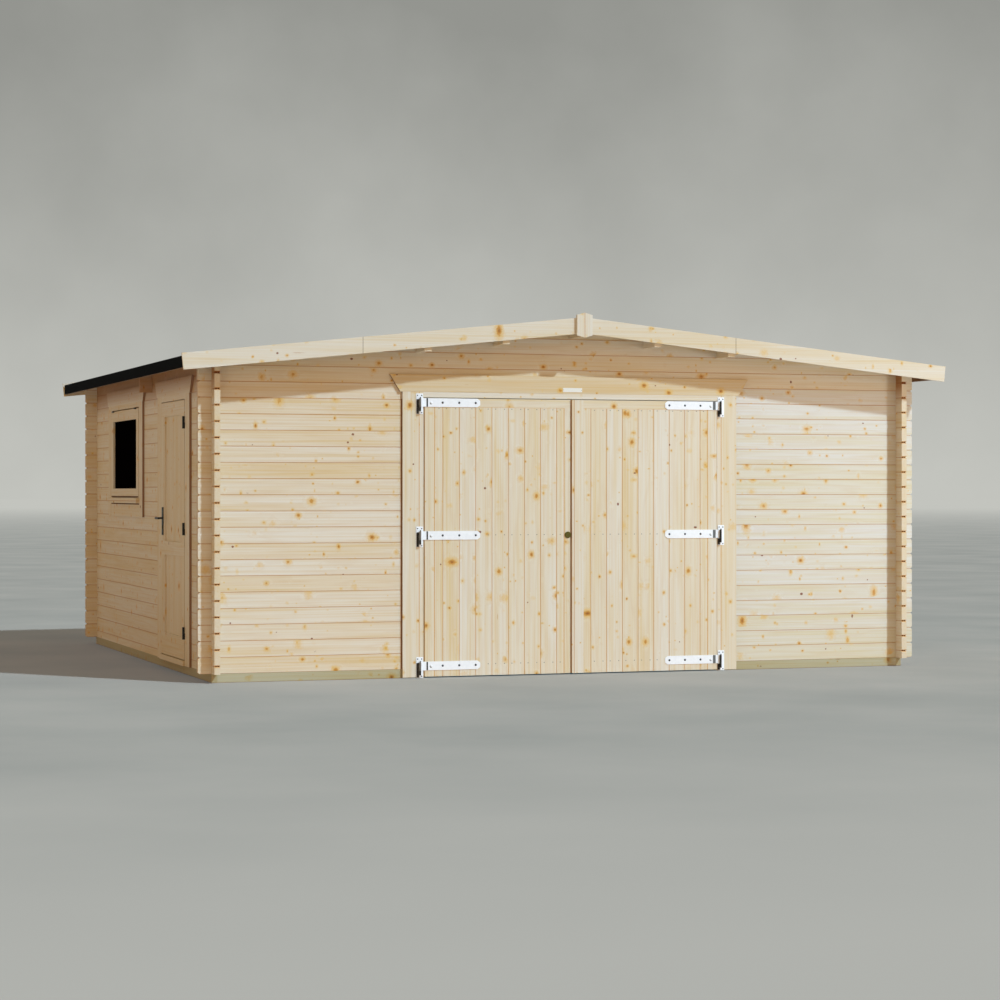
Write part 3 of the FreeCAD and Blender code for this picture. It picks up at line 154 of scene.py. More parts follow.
def spruce_group():
    """Colour, bump height and roughness of spruce from a place in a board: along, across and into the grain."""
    group = bpy.data.node_groups.new("spruce", "ShaderNodeTree")
    for name in ("Along", "Across", "Depth", "Board", "Half width"):
        group.interface.new_socket(name, in_out="INPUT", socket_type="NodeSocketFloat")
    for name in ("Pale", "Warm", "Joint", "End"):
        group.interface.new_socket(name, in_out="INPUT", socket_type="NodeSocketColor")
    group.interface.new_socket("End grain", in_out="INPUT", socket_type="NodeSocketFloat")
    group.interface.new_socket("Colour", in_out="OUTPUT", socket_type="NodeSocketColor")
    group.interface.new_socket("Height", in_out="OUTPUT", socket_type="NodeSocketFloat")
    group.interface.new_socket("Roughness", in_out="OUTPUT", socket_type="NodeSocketFloat")
    given = add(group, "NodeGroupInput").outputs
    dice = add(group, "TexWhiteNoise", {"W": given["Board"]}, noise_dimensions="1D")
    board_dice = add(group, "SeparateColor", {"Color": dice.outputs["Color"]}).outputs
    here = add(group, "CombineXYZ", {0: given["Along"], 1: given["Across"], 2: given["Depth"]}).outputs[0]
    apart = add(group, "VectorMath", {0: dice.outputs["Color"], "Scale": 37.0}, operation="SCALE")
    place = add(group, "VectorMath", {0: here, 1: apart.outputs[0]}, operation="ADD").outputs[0]

    # Rings round a pith that wanders
    stretched = add(group, "VectorMath", {0: place, 1: (0.55, 7.0, 7.0)}, operation="MULTIPLY").outputs[0]
    wander = add(group, "TexNoise", {"Vector": stretched, "Scale": 1.0, "Detail": 3.0}).outputs[0]
    pith_across = add(group, "Math", {0: board_dice[0], 1: 0.12, 2: -0.06}, operation="MULTIPLY_ADD")
    pith_depth = add(group, "Math", {0: board_dice[1], 1: 0.09, 2: 0.03}, operation="MULTIPLY_ADD")
    from_across = add(group, "Math", {0: given["Across"], 1: pith_across.outputs[0]}, operation="SUBTRACT")
    from_depth = add(group, "Math", {0: given["Depth"], 1: pith_depth.outputs[0]}, operation="ADD")
    spoke = add(group, "CombineXYZ", {1: from_across.outputs[0], 2: from_depth.outputs[0]}).outputs[0]
    reach = add(group, "VectorMath", {0: spoke}, operation="LENGTH").outputs["Value"]
    drift = add(group, "Math", {0: wander, 1: 0.045, 2: reach}, operation="MULTIPLY_ADD").outputs[0]

    knot = knot_field(group, place, KNOT_SPACING, 0.005, 0.0125, 0.95)
    pin_knot = knot_field(group, place, PIN_KNOT_SPACING, 0.0032, 0.007, 0.5)
    dark_knot = knot_field(group, place, DARK_KNOT_SPACING, 0.004, 0.005, 0.6)
    dash = knot_field(group, place, DASH_SPACING, 0.0018, 0.003, 0.3, along_share=0.1)
    near_knot = add(group, "MapRange", {"Value": knot, 1: 1.0, 2: 4.5, 3: 1.0, 4: 0.0},
                    interpolation_type="SMOOTHSTEP").outputs[0]
    bent = add(group, "Math", {0: near_knot, 1: 0.009, 2: drift}, operation="MULTIPLY_ADD").outputs[0]
    phase = add(group, "Math", {0: bent, 1: TURN / RING_WIDTH}, operation="MULTIPLY").outputs[0]
    wave = add(group, "Math", {0: phase}, operation="SINE").outputs[0]
    latewood = add(group, "MapRange", {"Value": wave, 1: 0.0, 2: 1.0, 3: 0.0, 4: 1.0}).outputs[0]

    # Colour of the clear wood
    patch = add(group, "TexNoise", {"Vector": stretched, "Scale": 1.6, "Detail": 2.0}).outputs[0]
    cloud = add(group, "MapRange", {"Value": patch, 1: 0.45, 2: 0.75, 3: 0.0, 4: 0.5}).outputs[0]
    fine = add(group, "VectorMath", {0: place, 1: (0.9, 85.0, 85.0)}, operation="MULTIPLY").outputs[0]
    streak = add(group, "TexNoise", {"Vector": fine, "Scale": 1.0, "Detail": 3.0}).outputs[0]
    streaks = add(group, "MapRange", {"Value": streak, 1: 0.42, 2: 0.72, 3: 0.0, 4: 0.55}).outputs[0]
    drawn = add(group, "Math", {0: board_dice[2], 1: 0.4, 2: streaks}, operation="MULTIPLY_ADD").outputs[0]
    mood = add(group, "Math", {0: drawn, 1: cloud}, operation="ADD", use_clamp=True).outputs[0]
    clear = add(group, "Mix", {"Factor": mood, 6: given["Pale"], 7: given["Warm"]}, data_type="RGBA")
    ring_share = add(group, "Math", {0: latewood, 1: 0.1}, operation="MULTIPLY").outputs[0]
    ringed = add(group, "Mix", {"Factor": ring_share, 6: clear.outputs[2], 7: linear("#C79A5E")},
                 data_type="RGBA").outputs[2]
    end_share = add(group, "Math", {0: given["End grain"], 1: 0.45}, operation="MULTIPLY").outputs[0]
    cut = add(group, "Mix", {"Factor": end_share, 6: ringed, 7: given["End"]}, data_type="RGBA")

    # Boards are orange along their joints, where planing bares the summer wood
    off_middle = add(group, "Math", {0: given["Across"]}, operation="ABSOLUTE").outputs[0]
    to_joint = add(group, "Math", {0: given["Half width"], 1: off_middle}, operation="SUBTRACT").outputs[0]
    stained = add(group, "MapRange", {"Value": to_joint, 1: 0.25 * JOINT_STAIN, 2: JOINT_STAIN,
                                      3: 0.7, 4: 0.0}).outputs[0]
    cut = add(group, "Mix", {"Factor": stained, 6: cut.outputs[2], 7: given["Joint"]}, data_type="RGBA")

    # Knots: a yellow halo, an orange body and, in some, a dark heart
    side_face = add(group, "Math", {0: 1.0, 1: given["End grain"]}, operation="SUBTRACT").outputs[0]
    painted = cut.outputs[2]
    layers = (
        (dash, 1.6, 0.6, 0.45, "#B98645"),
        (pin_knot, 2.8, 0.8, 0.5, "#DDB65A"),
        (pin_knot, 1.2, 0.7, 0.75, "#CE963A"),
        (knot, 3.0, 1.0, 0.6, "#DCAE4A"),
        (knot, 1.3, 0.7, 0.85, "#C4841E"),
        (knot, 0.7, 0.2, 0.7, "#86420C"),
        (dark_knot, 1.5, 0.9, 0.9, "#7E3A0C"),
    )
    for field, rim, full, strength, tone in layers:
        seen = add(group, "MapRange", {"Value": field, 1: full, 2: rim, 3: strength, 4: 0.0},
                   interpolation_type="SMOOTHSTEP").outputs[0]
        share = add(group, "Math", {0: seen, 1: side_face}, operation="MULTIPLY").outputs[0]
        painted = add(group, "Mix", {"Factor": share, 6: painted, 7: linear(tone)},
                      data_type="RGBA").outputs[2]
    sheen = add(group, "MapRange", {"Value": near_knot, 3: 0.62, 4: 0.48}).outputs[0]
    height = add(group, "Math", {0: near_knot, 1: 2.0, 2: latewood}, operation="MULTIPLY_ADD").outputs[0]
    add(group, "NodeGroupOutput", {"Colour": painted, "Height": height, "Roughness": sheen})
    return group


SPRUCE = spruce_group()
print("spruce group nodes:", len(SPRUCE.nodes))

# %% [markdown]
# ## Boards and their grain
# A board's grain follows its length. Each kind of board therefore says which way its length runs, which way its
# boards are counted and how wide they are. A frame with stiles and rails turns the grain where its rails are.

# %% Wood materials
PALE, WARM = "#DED6C6", "#D8C296"
END_TONE, LOG_JOINT, PLANK_JOINT = "#D6BC90", "#BC7A34", "#D89E54"
AXES = {"x": 0, "y": 1, "z": 2}


def board_place(tree, parts, along, across, start, pitch, seed):
    """Place in one board: metres along, across its middle and into it, and the board's own number."""
    depth = ({"x", "y", "z"} - {along, across}).pop()
    count = add(tree, "Math", {0: parts[AXES[across]], 1: start}, operation="SUBTRACT").outputs[0]
    steps = add(tree, "Math", {0: count, 1: pitch}, operation="DIVIDE").outputs[0]
    index = add(tree, "Math", {0: steps}, operation="FLOOR").outputs[0]
    share = add(tree, "Math", {0: steps, 1: index}, operation="SUBTRACT").outputs[0]
    centred = add(tree, "Math", {0: share, 1: pitch, 2: -pitch / 2}, operation="MULTIPLY_ADD").outputs[0]
    number = add(tree, "Math", {0: index, 1: seed}, operation="ADD").outputs[0]
    return {"Along": parts[AXES[along]], "Across": centred, "Depth": parts[AXES[depth]], "Board": number,
            "Half width": pitch / 2}


def spruce(name, along, across, start=0.0, pitch=8.0, seed=0.0, rails=None, pale=PALE, warm=WARM, soak_and_shade=None,
           joint=LOG_JOINT, end_tone=END_TONE, tone_and_shading=None, eave_shade=None):
    """Planed spruce. rails lists the heights between which the grain turns from along to across.

    tone_and_shading is an axis, a least and a most lean, and a tone: faces whose normal leans so far along the axis
    get the tone. It gives the V between two log ends its orange tone. It paints shade in dark brown on the sides of
    casings and uprights and on the slanted ends of header boards, and it paints light in pale orange on the sides of
    the leaf stiles. eave_shade is the heights between which shade under the eave is painted into the colour, darker
    towards the top. soak_and_shade is a tone that the colour is multiplied by: the treatment of the soles, a warm
    brown on the tie beam, and painted shade on the eave boards."""
    material, tree = empty_material(name)
    where = add(tree, "TexCoord")
    parts = add(tree, "SeparateXYZ", {0: where.outputs["Object"]}).outputs
    facing = add(tree, "SeparateXYZ", {0: where.outputs["Normal"]}).outputs
    wood = board_place(tree, parts, along, across, start, pitch, seed)
    lean = add(tree, "Math", {0: facing[AXES[along]]}, operation="ABSOLUTE").outputs[0]
    end = add(tree, "Math", {0: lean, 1: 0.7}, operation="GREATER_THAN").outputs[0]
    tones = {"Pale": linear(pale), "Warm": linear(warm), "Joint": linear(joint), "End": linear(end_tone)}
    end_grain = end
    if rails:
        turned = board_place(tree, parts, across, along, start, pitch, seed + 0.5)
        low = [add(tree, "Math", {0: parts[2], 1: bottom}, operation="GREATER_THAN") for bottom, _ in rails]
        high = [add(tree, "Math", {0: parts[2], 1: top}, operation="LESS_THAN") for _, top in rails]
        inside = 0.0
        for above, below in zip(low, high):
            both = {0: above.outputs[0], 1: below.outputs[0], 2: inside}
            inside = add(tree, "Math", both, operation="MULTIPLY_ADD").outputs[0]
        wood = {key: add(tree, "Mix", {"Factor": inside, 2: wood[key], 3: turned[key]}).outputs[0]
                for key in wood}
        end_grain = 0.0
    grain = add(tree, "Group", {**wood, **tones, "End grain": end_grain}, node_tree=SPRUCE)
    colour = grain.outputs["Colour"]
    if tone_and_shading:
        axis, least, most, tone = tone_and_shading
        leans = add(tree, "Math", {0: facing[AXES[axis]]}, operation="ABSOLUTE").outputs[0]
        above = add(tree, "Math", {0: leans, 1: least}, operation="GREATER_THAN").outputs[0]
        below = add(tree, "Math", {0: leans, 1: most}, operation="LESS_THAN").outputs[0]
        both = add(tree, "Math", {0: above, 1: below}, operation="MULTIPLY").outputs[0]
        share = add(tree, "Math", {0: both, 1: 0.85}, operation="MULTIPLY").outputs[0]
        colour = add(tree, "Mix", {"Factor": share, 6: colour, 7: linear(tone)}, data_type="RGBA").outputs[2]
    # Painted shade under the eave: on all but end grain, the colour grows darker towards the top of the given
    # heights.
    if eave_shade:
        under = add(tree, "MapRange", {"Value": parts[2], 1: eave_shade[0], 2: eave_shade[1]}).outputs[0]
        sideways = add(tree, "Math", {0: 1.0, 1: end}, operation="SUBTRACT").outputs[0]
        eave_shade_share = add(tree, "Math", {0: under, 1: sideways}, operation="MULTIPLY").outputs[0]
        colour = add(tree, "Mix", {"Factor": eave_shade_share, 6: colour, 7: linear("#C79A70")}, data_type="RGBA",
                     blend_type="MULTIPLY").outputs[2]
    if soak_and_shade:
        colour = add(tree, "Mix", {"Factor": 0.82, 6: colour, 7: linear(soak_and_shade)}, data_type="RGBA",
                     blend_type="MULTIPLY").outputs[2]
    bump = add(tree, "Bump", {"Strength": 0.25, "Distance": 0.0004, "Height": grain.outputs["Height"]})
    return finish_material(material, {"Base Color": colour, "Roughness": grain.outputs["Roughness"],
                                      "Normal": bump.outputs[0]})


# %% [markdown]
# ## Which wood goes where
# The logs of the side walls lie half a log higher than those of the front and back, so their boards are counted
# from another height. The planks of the garage leaves are counted from the outer stile.

# %% Give the wooden nodes their grain
LOG_PITCH = 0.12
SOLE_TOP = 0.066
LEAF_TOP = 2.118
PLANK_PITCH = 0.1314
TOP_RAIL = 0.066

END_NOTCH = (0.45, 0.7, "#DDAE6C")
# SHADED_SIDE is painted shade: the sides of casings and uprights are turned dark brown.
SHADED_SIDE = (0.7, 1.1, "#7E4A22")
# The front wall's halves are one spruce in two tones: painted light, warmer on the left and paler and cooler on the
# right. The end grain of the left half, the gable and the back wall is darker than on the right: painted shade.
front_logs = spruce("spruce_front_logs", "x", "z", SOLE_TOP, LOG_PITCH, 53, tone_and_shading=("x", *END_NOTCH),
                    end_tone="#B98A56")
left_logs = spruce("spruce_front_logs_left", "x", "z", SOLE_TOP, LOG_PITCH, 3, tone_and_shading=("x", *END_NOTCH),
                   end_tone="#B98A56", pale="#DFD5C4", warm="#D6BC8E")
right_logs = spruce("spruce_front_logs_right", "x", "z", SOLE_TOP, LOG_PITCH, 27, tone_and_shading=("x", *END_NOTCH),
                    pale="#D8D3C9", warm="#D2C49E")
# The side walls have shade under the eave painted in, darker towards the top.
side_logs = spruce("spruce_side_logs", "y", "z", SOLE_TOP + LOG_PITCH / 2, LOG_PITCH, 41, tone_and_shading=("y", *END_NOTCH),
                   eave_shade=(2.1, 2.27))
cross_beam = spruce("spruce_cross_beam", "x", "z", seed=77, soak_and_shade="#C9986A")
long_timber = spruce("spruce_purlins", "y", "x", start=-0.31, pitch=0.62, seed=81)
upright = spruce("spruce_uprights", "z", "x", seed=90)
casing_wood = spruce("spruce_casings", "z", "x", seed=92, tone_and_shading=("x", *SHADED_SIDE))
side_upright = spruce("spruce_side_uprights", "z", "y", start=0.2, pitch=0.35, seed=95, tone_and_shading=("y", *SHADED_SIDE))
level_board = spruce("spruce_level_boards", "x", "z", seed=101)
# The slanted ends of the header board are painted shade in dark brown.
header_wood = spruce("spruce_header_board", "x", "z", seed=102, tone_and_shading=("x", 0.3, 1.1, "#7E4A22"), pale="#D7C6A6",
                     warm="#D1B27D")
# The slanted ends of these boards are painted shade in dark brown, and shade under the eave is painted in, darker
# towards the top.
side_level_board = spruce("spruce_side_level_boards", "y", "z", start=1.33, seed=104,
                          tone_and_shading=("y", 0.3, 1.1, "#7E4A22"), eave_shade=(2.16, 2.3))
sill_wood = spruce("spruce_sill", "y", "z", start=1.33, seed=108)
left_planks = spruce("spruce_left_planks", "z", "x", start=-1.126 + 0.065, pitch=PLANK_PITCH, seed=111,
                     joint=PLANK_JOINT)
right_planks = spruce("spruce_right_planks", "z", "x", start=1.126 - 0.065, pitch=PLANK_PITCH, seed=131,
                      joint=PLANK_JOINT)
# The sides of the stiles, in the gaps beside the posts, are painted light in pale orange, which lifts the gaps'
# shade.
leaf_frame = spruce("spruce_leaf_frame", "z", "x", start=-1.24, pitch=1.24, seed=140, joint=PLANK_JOINT,
                    tone_and_shading=("x", 0.7, 1.1, "#F0B060"),
                    rails=[(LEAF_TOP - TOP_RAIL, LEAF_TOP)])
side_leaf = spruce("spruce_side_leaf", "z", "y", start=-1.48, pitch=0.65, seed=150,
                   rails=[(0.112, 0.285), (0.904, 1.016), (2.005, 2.118)])
sash_wood = spruce("spruce_sash", "z", "y", start=0.93, seed=160, rails=[(1.3, 1.435), (2.024, 2.2)])
# The eave boards' colour is multiplied by a dark brown: painted shade under the eave.
shaded_eave = spruce("spruce_eave_boards", "y", "x", start=-4.0, seed=165, soak_and_shade="#80543A")
soaked = spruce("treated_sole_front", "x", "z", seed=170, soak_and_shade="#BFC2AA")
side_soaked = spruce("treated_sole_side", "y", "z", seed=175, soak_and_shade="#B4B494")

WOODS = {
    front_logs: ("front_gable", "back_wall"),
    left_logs: ("front_wall_left",),
    right_logs: ("front_wall_right",),
    side_logs: ("right_wall", "left_wall_front", "left_wall_pier", "left_wall_under_window", "left_wall_rear",
                "left_wall_top"),
    cross_beam: ("tie_beam",),
    long_timber: ("purlins",),
    shaded_eave: ("eave_boards",),
    upright: ("purlin_posts", "garage_posts", "right_leaf_cover_strip", "apex_blocks"),
    casing_wood: ("garage_casings",),
    side_upright: ("side_door_posts", "side_door_casings", "window_casings"),
    level_board: ("garage_head", "barge_boards_left", "barge_boards_right", "roof_boards_left",
                  "roof_boards_right"),
    header_wood: ("garage_header_board",),
    side_level_board: ("side_door_head", "side_door_header_board", "window_header_board"),
    sill_wood: ("side_door_threshold", "window_sill", "window_lower_casing"),
    left_planks: ("left_leaf_boards",),
    right_planks: ("right_leaf_boards",),
    leaf_frame: ("left_leaf_frame", "right_leaf_frame"),
    side_leaf: ("side_door_leaf",),
    sash_wood: ("window_frame", "window_sash"),
    soaked: ("front_sole", "back_sole"),
    side_soaked: ("left_sole", "right_sole"),
}


def coat(material, names):
    """Put one material on whole nodes."""
    for name in names:
        nodes[name].data.materials.clear()
        nodes[name].data.materials.append(material)


for material, names in WOODS.items():
    coat(material, names)
print("wooden nodes:", sum(len(names) for names in WOODS.values()))

# %% [markdown]
# ## Felt, steel, brass and glass
# Bitumen felt is black with fine mineral grit. The straps are hot-dip galvanised, so they are bright and
# slightly mottled. The side door's hardware is black powder coat. The room behind the window is dark.

# %% Other materials
def plain_material(name, colour, mottle, scale, roughness, metallic=0.0, bump=0.0, left_shade=None, **sockets):
    """A finish whose colour and roughness vary a little with a noise of the given grain size in metres.

    left_shade, if given, is painted shade: a tone for what is turned to the left more than 1.2 m from the middle,
    where the hinge eyes are."""
    material, tree = empty_material(name)
    places = add(tree, "TexCoord").outputs
    where = places["Object"]
    grain = add(tree, "TexNoise", {"Vector": where, "Scale": 1 / scale, "Detail": 3.0}).outputs[0]
    tone = add(tree, "Mix", {"Factor": grain, 6: linear(colour), 7: linear(mottle)}, data_type="RGBA")
    if left_shade:
        turned = add(tree, "SeparateXYZ", {0: places["Normal"]}).outputs[0]
        sideways = add(tree, "MapRange", {"Value": turned, 1: -0.1, 2: -0.35}).outputs[0]
        aside = add(tree, "SeparateXYZ", {0: where}).outputs[0]
        from_middle = add(tree, "Math", {0: aside}, operation="ABSOLUTE").outputs[0]
        far = add(tree, "Math", {0: from_middle, 1: 1.2}, operation="GREATER_THAN").outputs[0]
        both = add(tree, "Math", {0: sideways, 1: far}, operation="MULTIPLY").outputs[0]
        tone = add(tree, "Mix", {"Factor": both, 6: tone.outputs[2], 7: linear(left_shade)}, data_type="RGBA")
    matt = add(tree, "MapRange", {"Value": grain, 3: roughness[0], 4: roughness[1]}).outputs[0]
    inputs = {"Base Color": tone.outputs[2], "Roughness": matt, "Metallic": metallic, **sockets}
    if bump:
        relief = add(tree, "Bump", {"Strength": 0.5, "Distance": bump, "Height": grain})
        inputs["Normal"] = relief.outputs[0]
    return finish_material(material, inputs)


felt = plain_material("bitumen_felt", "#010101", "#0C0C0D", 0.0025, (0.85, 1.0), bump=0.0008,
                      **{"Specular IOR Level": 0.06})
# The left sides of the hinge eyes get painted shade: grey on the left leaf's straps, near black on the right leaf's
# straps and on both hinge plates.
zinc = plain_material("galvanised_strap", "#FFFFFF", "#ECEEEE", 0.02, (0.4, 0.55), metallic=0.1, left_shade="#777774")
shaded_zinc = plain_material("galvanised_strap_right", "#FFFFFF", "#ECEEEE", 0.02, (0.4, 0.55), metallic=0.1,
                             left_shade="#24221F")
black_steel = plain_material("black_powder_coat", "#0A0A0A", "#161616", 0.003, (0.35, 0.5))
brass = plain_material("dull_brass", "#8A7A3A", "#5E5628", 0.01, (0.3, 0.5), metallic=0.8)
glass = plain_material("window_glass", "#030202", "#050403", 0.4, (0.04, 0.06), **{"Specular IOR Level": 0.0})

coat(felt, ("roof_felt_left", "roof_felt_right"))
coat(zinc, ("left_leaf_straps",))
coat(shaded_zinc, ("right_leaf_straps", "garage_hinge_plates"))
coat(black_steel, ("side_door_hinge_pins", "side_door_hinge_sleeves", "side_door_handle_plate", "side_door_lever",
                   "window_hinges"))
coat(brass, ("left_leaf_lock",))
coat(glass, ("window_glass",))

# %% [markdown]
# ## Making pieces from arrays
# Every small part from here on is a stack of closed outlines. The outlines are one array, so a row of ninety screws
# is worked out at once. A stack gets quads from outline to outline and a cap at each end, which closes it.

# %% A stack of outlines becomes a piece
CREASE = math.radians(35.0)


def make_piece(name, points, material, body):
    """Closed bits from an array of bits x outlines x steps x 3.

    Point (b, o, s) has the number (b * outlines + o) * steps + s. Seen against the way that the outlines follow
    each other, the steps run anticlockwise, so that the faces point outwards."""
    bits, outlines, steps, _ = points.shape
    first = (np.arange(bits) * outlines * steps)[:, None, None]
    outline = (np.arange(outlines - 1) * steps)[None, :, None]
    step = np.arange(steps)[None, None, :]
    following = (step + 1) % steps
    quads = np.stack([first + outline + step, first + outline + following,
                      first + outline + steps + following, first + outline + steps + step], axis=-1)
    lower_caps = first[:, 0] + np.arange(steps)[::-1]
    upper_caps = first[:, 0] + (outlines - 1) * steps + np.arange(steps)
    mesh = bpy.data.meshes.new(name)
    mesh.from_pydata(points.reshape(-1, 3).tolist(), [],
                     quads.reshape(-1, 4).tolist() + lower_caps.tolist() + upper_caps.tolist())
    mesh.shade_smooth()
    mesh.set_sharp_from_angle(angle=CREASE)
    mesh.materials.append(material)
    piece = bpy.data.objects.new(name, mesh)
    bpy.context.scene.collection.objects.link(piece)
    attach(piece, body)
    print(name, "has", len(mesh.polygons), "faces")
    return piece


# %% [markdown]
# ## Roof boards
# The deck is laid of narrow boards from the ridge to the eave. Their lower edges are planed off, so that the joints
# show as V lines from below. One board's outline is repeated along the garage and drawn down the slope.

# %% Boards of both slopes
ROOF_BOARD_THICKNESS = 0.019
ROOF_BOARD_PITCH = 0.096
BOARD_GAP = 0.0008
BOARD_BEVEL = 0.004


def roof_deck(word):
    """Board outlines in Y and height, carried in a straight line from the ridge to the eave."""
    node = "roof_boards_" + word
    low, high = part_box(node)
    side = 1 if high[0] > 0.01 else -1
    eave = high[0] if side > 0 else -low[0]
    thickness = ROOF_BOARD_THICKNESS
    fall = (high[2] - thickness - low[2]) / eave
    count = round((high[1] - low[1]) / ROOF_BOARD_PITCH)
    pitch = (high[1] - low[1]) / count
    near, far, bevel = BOARD_GAP / 2, pitch - BOARD_GAP / 2, BOARD_BEVEL
    outline = np.array([(near, bevel), (near + bevel, 0.0), (far - bevel, 0.0), (far, bevel),
                        (far, thickness), (near, thickness)])[::side]
    along = np.linspace(0.0, eave, 5)
    start = low[1] + np.arange(count) * pitch
    points = np.empty((count, len(along), len(outline), 3))
    points[..., 0] = side * along[None, :, None]
    points[..., 1] = start[:, None, None] + outline[None, None, :, 0]
    points[..., 2] = high[2] - thickness - fall * along[None, :, None] + outline[None, None, :, 1]
    deck = make_piece("roof_deck_" + word, points, roof_wood, "garage")
    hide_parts(node)


roof_wood = spruce("spruce_roof_boards", "x", "y", start=-2.726, pitch=ROOF_BOARD_PITCH, seed=200)
for word in ("left", "right"):
    roof_deck(word)

# %% [markdown]
# ## Felt
# Felt is rolled out along the eave, and each strip laps over the one below it, so the roof has three low steps.
# The lowest strip folds down over the eave board. One outline holds the laps and the fold, and it is carried from
# gable to gable with a slight ripple, because felt never lies quite flat.

# %% Felt of both slopes
FELT = 0.003
LAP_WIDTH = 0.09
LAPS = (0.14, 1.12, 2.1)   # Distance of each strip's lower edge from the ridge.
FOLD_RADIUS = 0.007


def felt_cover(word):
    """The height over the deck is one felt thickness, and rises to two where the next strip lies on top.

    Between gables the top is lifted by up to 0.8 mm times sin(9 y + 5 x) * sin(4 y - 3 x)."""
    node = "roof_felt_" + word
    low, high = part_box(node)
    deck_low, deck_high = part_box("roof_boards_" + word)
    side = 1 if high[0] > 0.01 else -1
    edge = high[0] if side > 0 else -low[0]
    eave = deck_high[0] if side > 0 else -deck_low[0]
    fall = (deck_high[2] - ROOF_BOARD_THICKNESS - deck_low[2]) / eave
    ridge = deck_high[2]
    top = [(0.0, 2 * FELT)]
    for lap in LAPS:
        if lap > LAP_WIDTH + 0.1:
            top += [(lap - LAP_WIDTH - 0.02, FELT), (lap - LAP_WIDTH, 2 * FELT)]
        top += [(lap, 2 * FELT), (lap + 0.001, FELT)]
    top = [(away, ridge - fall * away + lift) for away, lift in top]
    turn = np.linspace(math.pi / 2 - math.atan(fall), 0.0, 5)
    centre = edge - FOLD_RADIUS, ridge - fall * edge + FELT - FOLD_RADIUS
    fold = np.stack([centre[0] + FOLD_RADIUS * np.cos(turn), centre[1] + FOLD_RADIUS * np.sin(turn)], axis=1)
    inner = edge - FELT, ridge - fall * (edge - FELT) - FOLD_RADIUS
    under = [(edge, low[2] + 0.001), (edge - 0.001, low[2]), (edge - FELT, low[2]), inner,
             (edge - FOLD_RADIUS, ridge - fall * (edge - FOLD_RADIUS)), (0.0, ridge)]
    outline = np.array(top + fold.tolist() + under)
    upper = np.arange(len(outline)) < len(top)
    along = np.linspace(low[1], high[1], 90)
    back, aside = along[:, None], outline[None, :, 0]
    ripple = np.sin(9 * back + 5 * aside) * np.sin(4 * back - 3 * aside)
    points = np.empty((1, len(along), len(outline), 3))
    points[0, :, :, 0] = side * outline[None, :, 0]
    points[0, :, :, 1] = along[:, None]
    points[0, :, :, 2] = outline[None, :, 1] + 0.0008 * np.where(upper, ripple, 0.0)
    cover = make_piece("felt_" + word, points[:, :, ::side], felt, "garage")
    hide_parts(node)


for word in ("left", "right"):
    felt_cover(word)

# %% [markdown]
# ## Raised bits
# Screws, nails, plates and keyholes are all the same kind of shape: a round or rounded outline that shrinks as it
# rises from a face. The profile says how far it shrinks and rises. A circle is a rounded square with nothing left
# of its straight sides.

# %% Put bits on a face
FACINGS = {"front": ((1.0, 0.0, 0.0), (0.0, -1.0, 0.0)), "left": ((0.0, -1.0, 0.0), (-1.0, 0.0, 0.0)),
           "back": ((-1.0, 0.0, 0.0), (0.0, 1.0, 0.0)), "right": ((0.0, 1.0, 0.0), (1.0, 0.0, 0.0))}


def raised(name, facing, centres, size, corner, profile, material, body, steps=12):
    """Round each outline a point is its corner's middle plus (corner - inset) times (cos, sin) of the angle."""
    across, outwards = np.array(FACINGS[facing])
    angle = (np.arange(steps) + 0.5) * TURN / steps
    turn = np.stack([np.cos(angle), np.sin(angle)], axis=1)
    core = np.sign(turn) * (np.array(size) / 2 - corner)
    inset, height = np.array(profile).T
    flat = core[None] + (corner - inset)[:, None, None] * turn[None]
    shape = flat[..., :1] * across + flat[..., 1:] * np.array((0.0, 0.0, 1.0)) + height[:, None, None] * outwards
    points = np.array(centres)[:, None, None] + shape[None]
    return make_piece(name, points, material, body)


def dome(radius, height):
    """Inset and height of a low dome: the inset is radius * (1 - cos t) and the height is height * sin t."""
    turn = np.linspace(0.0, 0.45 * math.pi, 4)
    return [(0.0, -0.0005)] + np.stack([radius * (1 - np.cos(turn)), height * np.sin(turn)], axis=1).tolist()


# %% [markdown]
# ## Tongues in the log ends
# Each log has two tongues on its top, which fit two grooves in the next log. At the end of a wall they show as a pair
# of dark marks in the notch between two logs: dark pieces that are painted shade of the grooves. They stop short of
# the log's end, so they sit inside the V.

# %% Two tongues in every notch
TONGUE_SIZE = (0.01, 0.011)
TONGUE_OFFSET = 0.009
WALL_MIDDLE = 0.0225

groove_shade = plain_material("painted_groove_shade", "#7A4620", "#56300F", 0.006, (0.8, 0.9))
log_levels = SOLE_TOP + LOG_PITCH * (1 + np.arange(19))
for facing, node, level_shift, inside in (
        ("left", "front_gable", 0.0, 0.0125), ("right", "front_gable", 0.0, 0.0125),
        ("front", "right_wall", -LOG_PITCH / 2, 0.0095), ("back", "right_wall", -LOG_PITCH / 2, 0.0095)):
    low, high = np.array(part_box(node))
    outwards = np.array(FACINGS[facing][1])
    way = int(np.abs(outwards).argmax())
    aside = 1 - way
    end = (low if outwards[way] < 0 else high)[way] - inside * outwards[way]
    far_out = abs(low[aside] if way == 0 else high[aside]) - WALL_MIDDLE
    marks = np.array([(wall * far_out + offset, level) for wall in (-1, 1)
                      for offset in (-TONGUE_OFFSET, TONGUE_OFFSET) for level in log_levels + level_shift])
    centres = np.empty((len(marks), 3))
    centres[:, way], centres[:, aside], centres[:, 2] = end, marks[:, 0], marks[:, 1]
    raised("log_tongues_" + facing, facing, centres, TONGUE_SIZE, 0.001, [(0.0, -0.004), (0.0, 0.0)], groove_shade,
           "garage", steps=8)

# %% [markdown]
# ## Joints in the barge boards
# A barge board is longer than the timber that is sold, so each slope has one butt joint, which shows as a thin line.

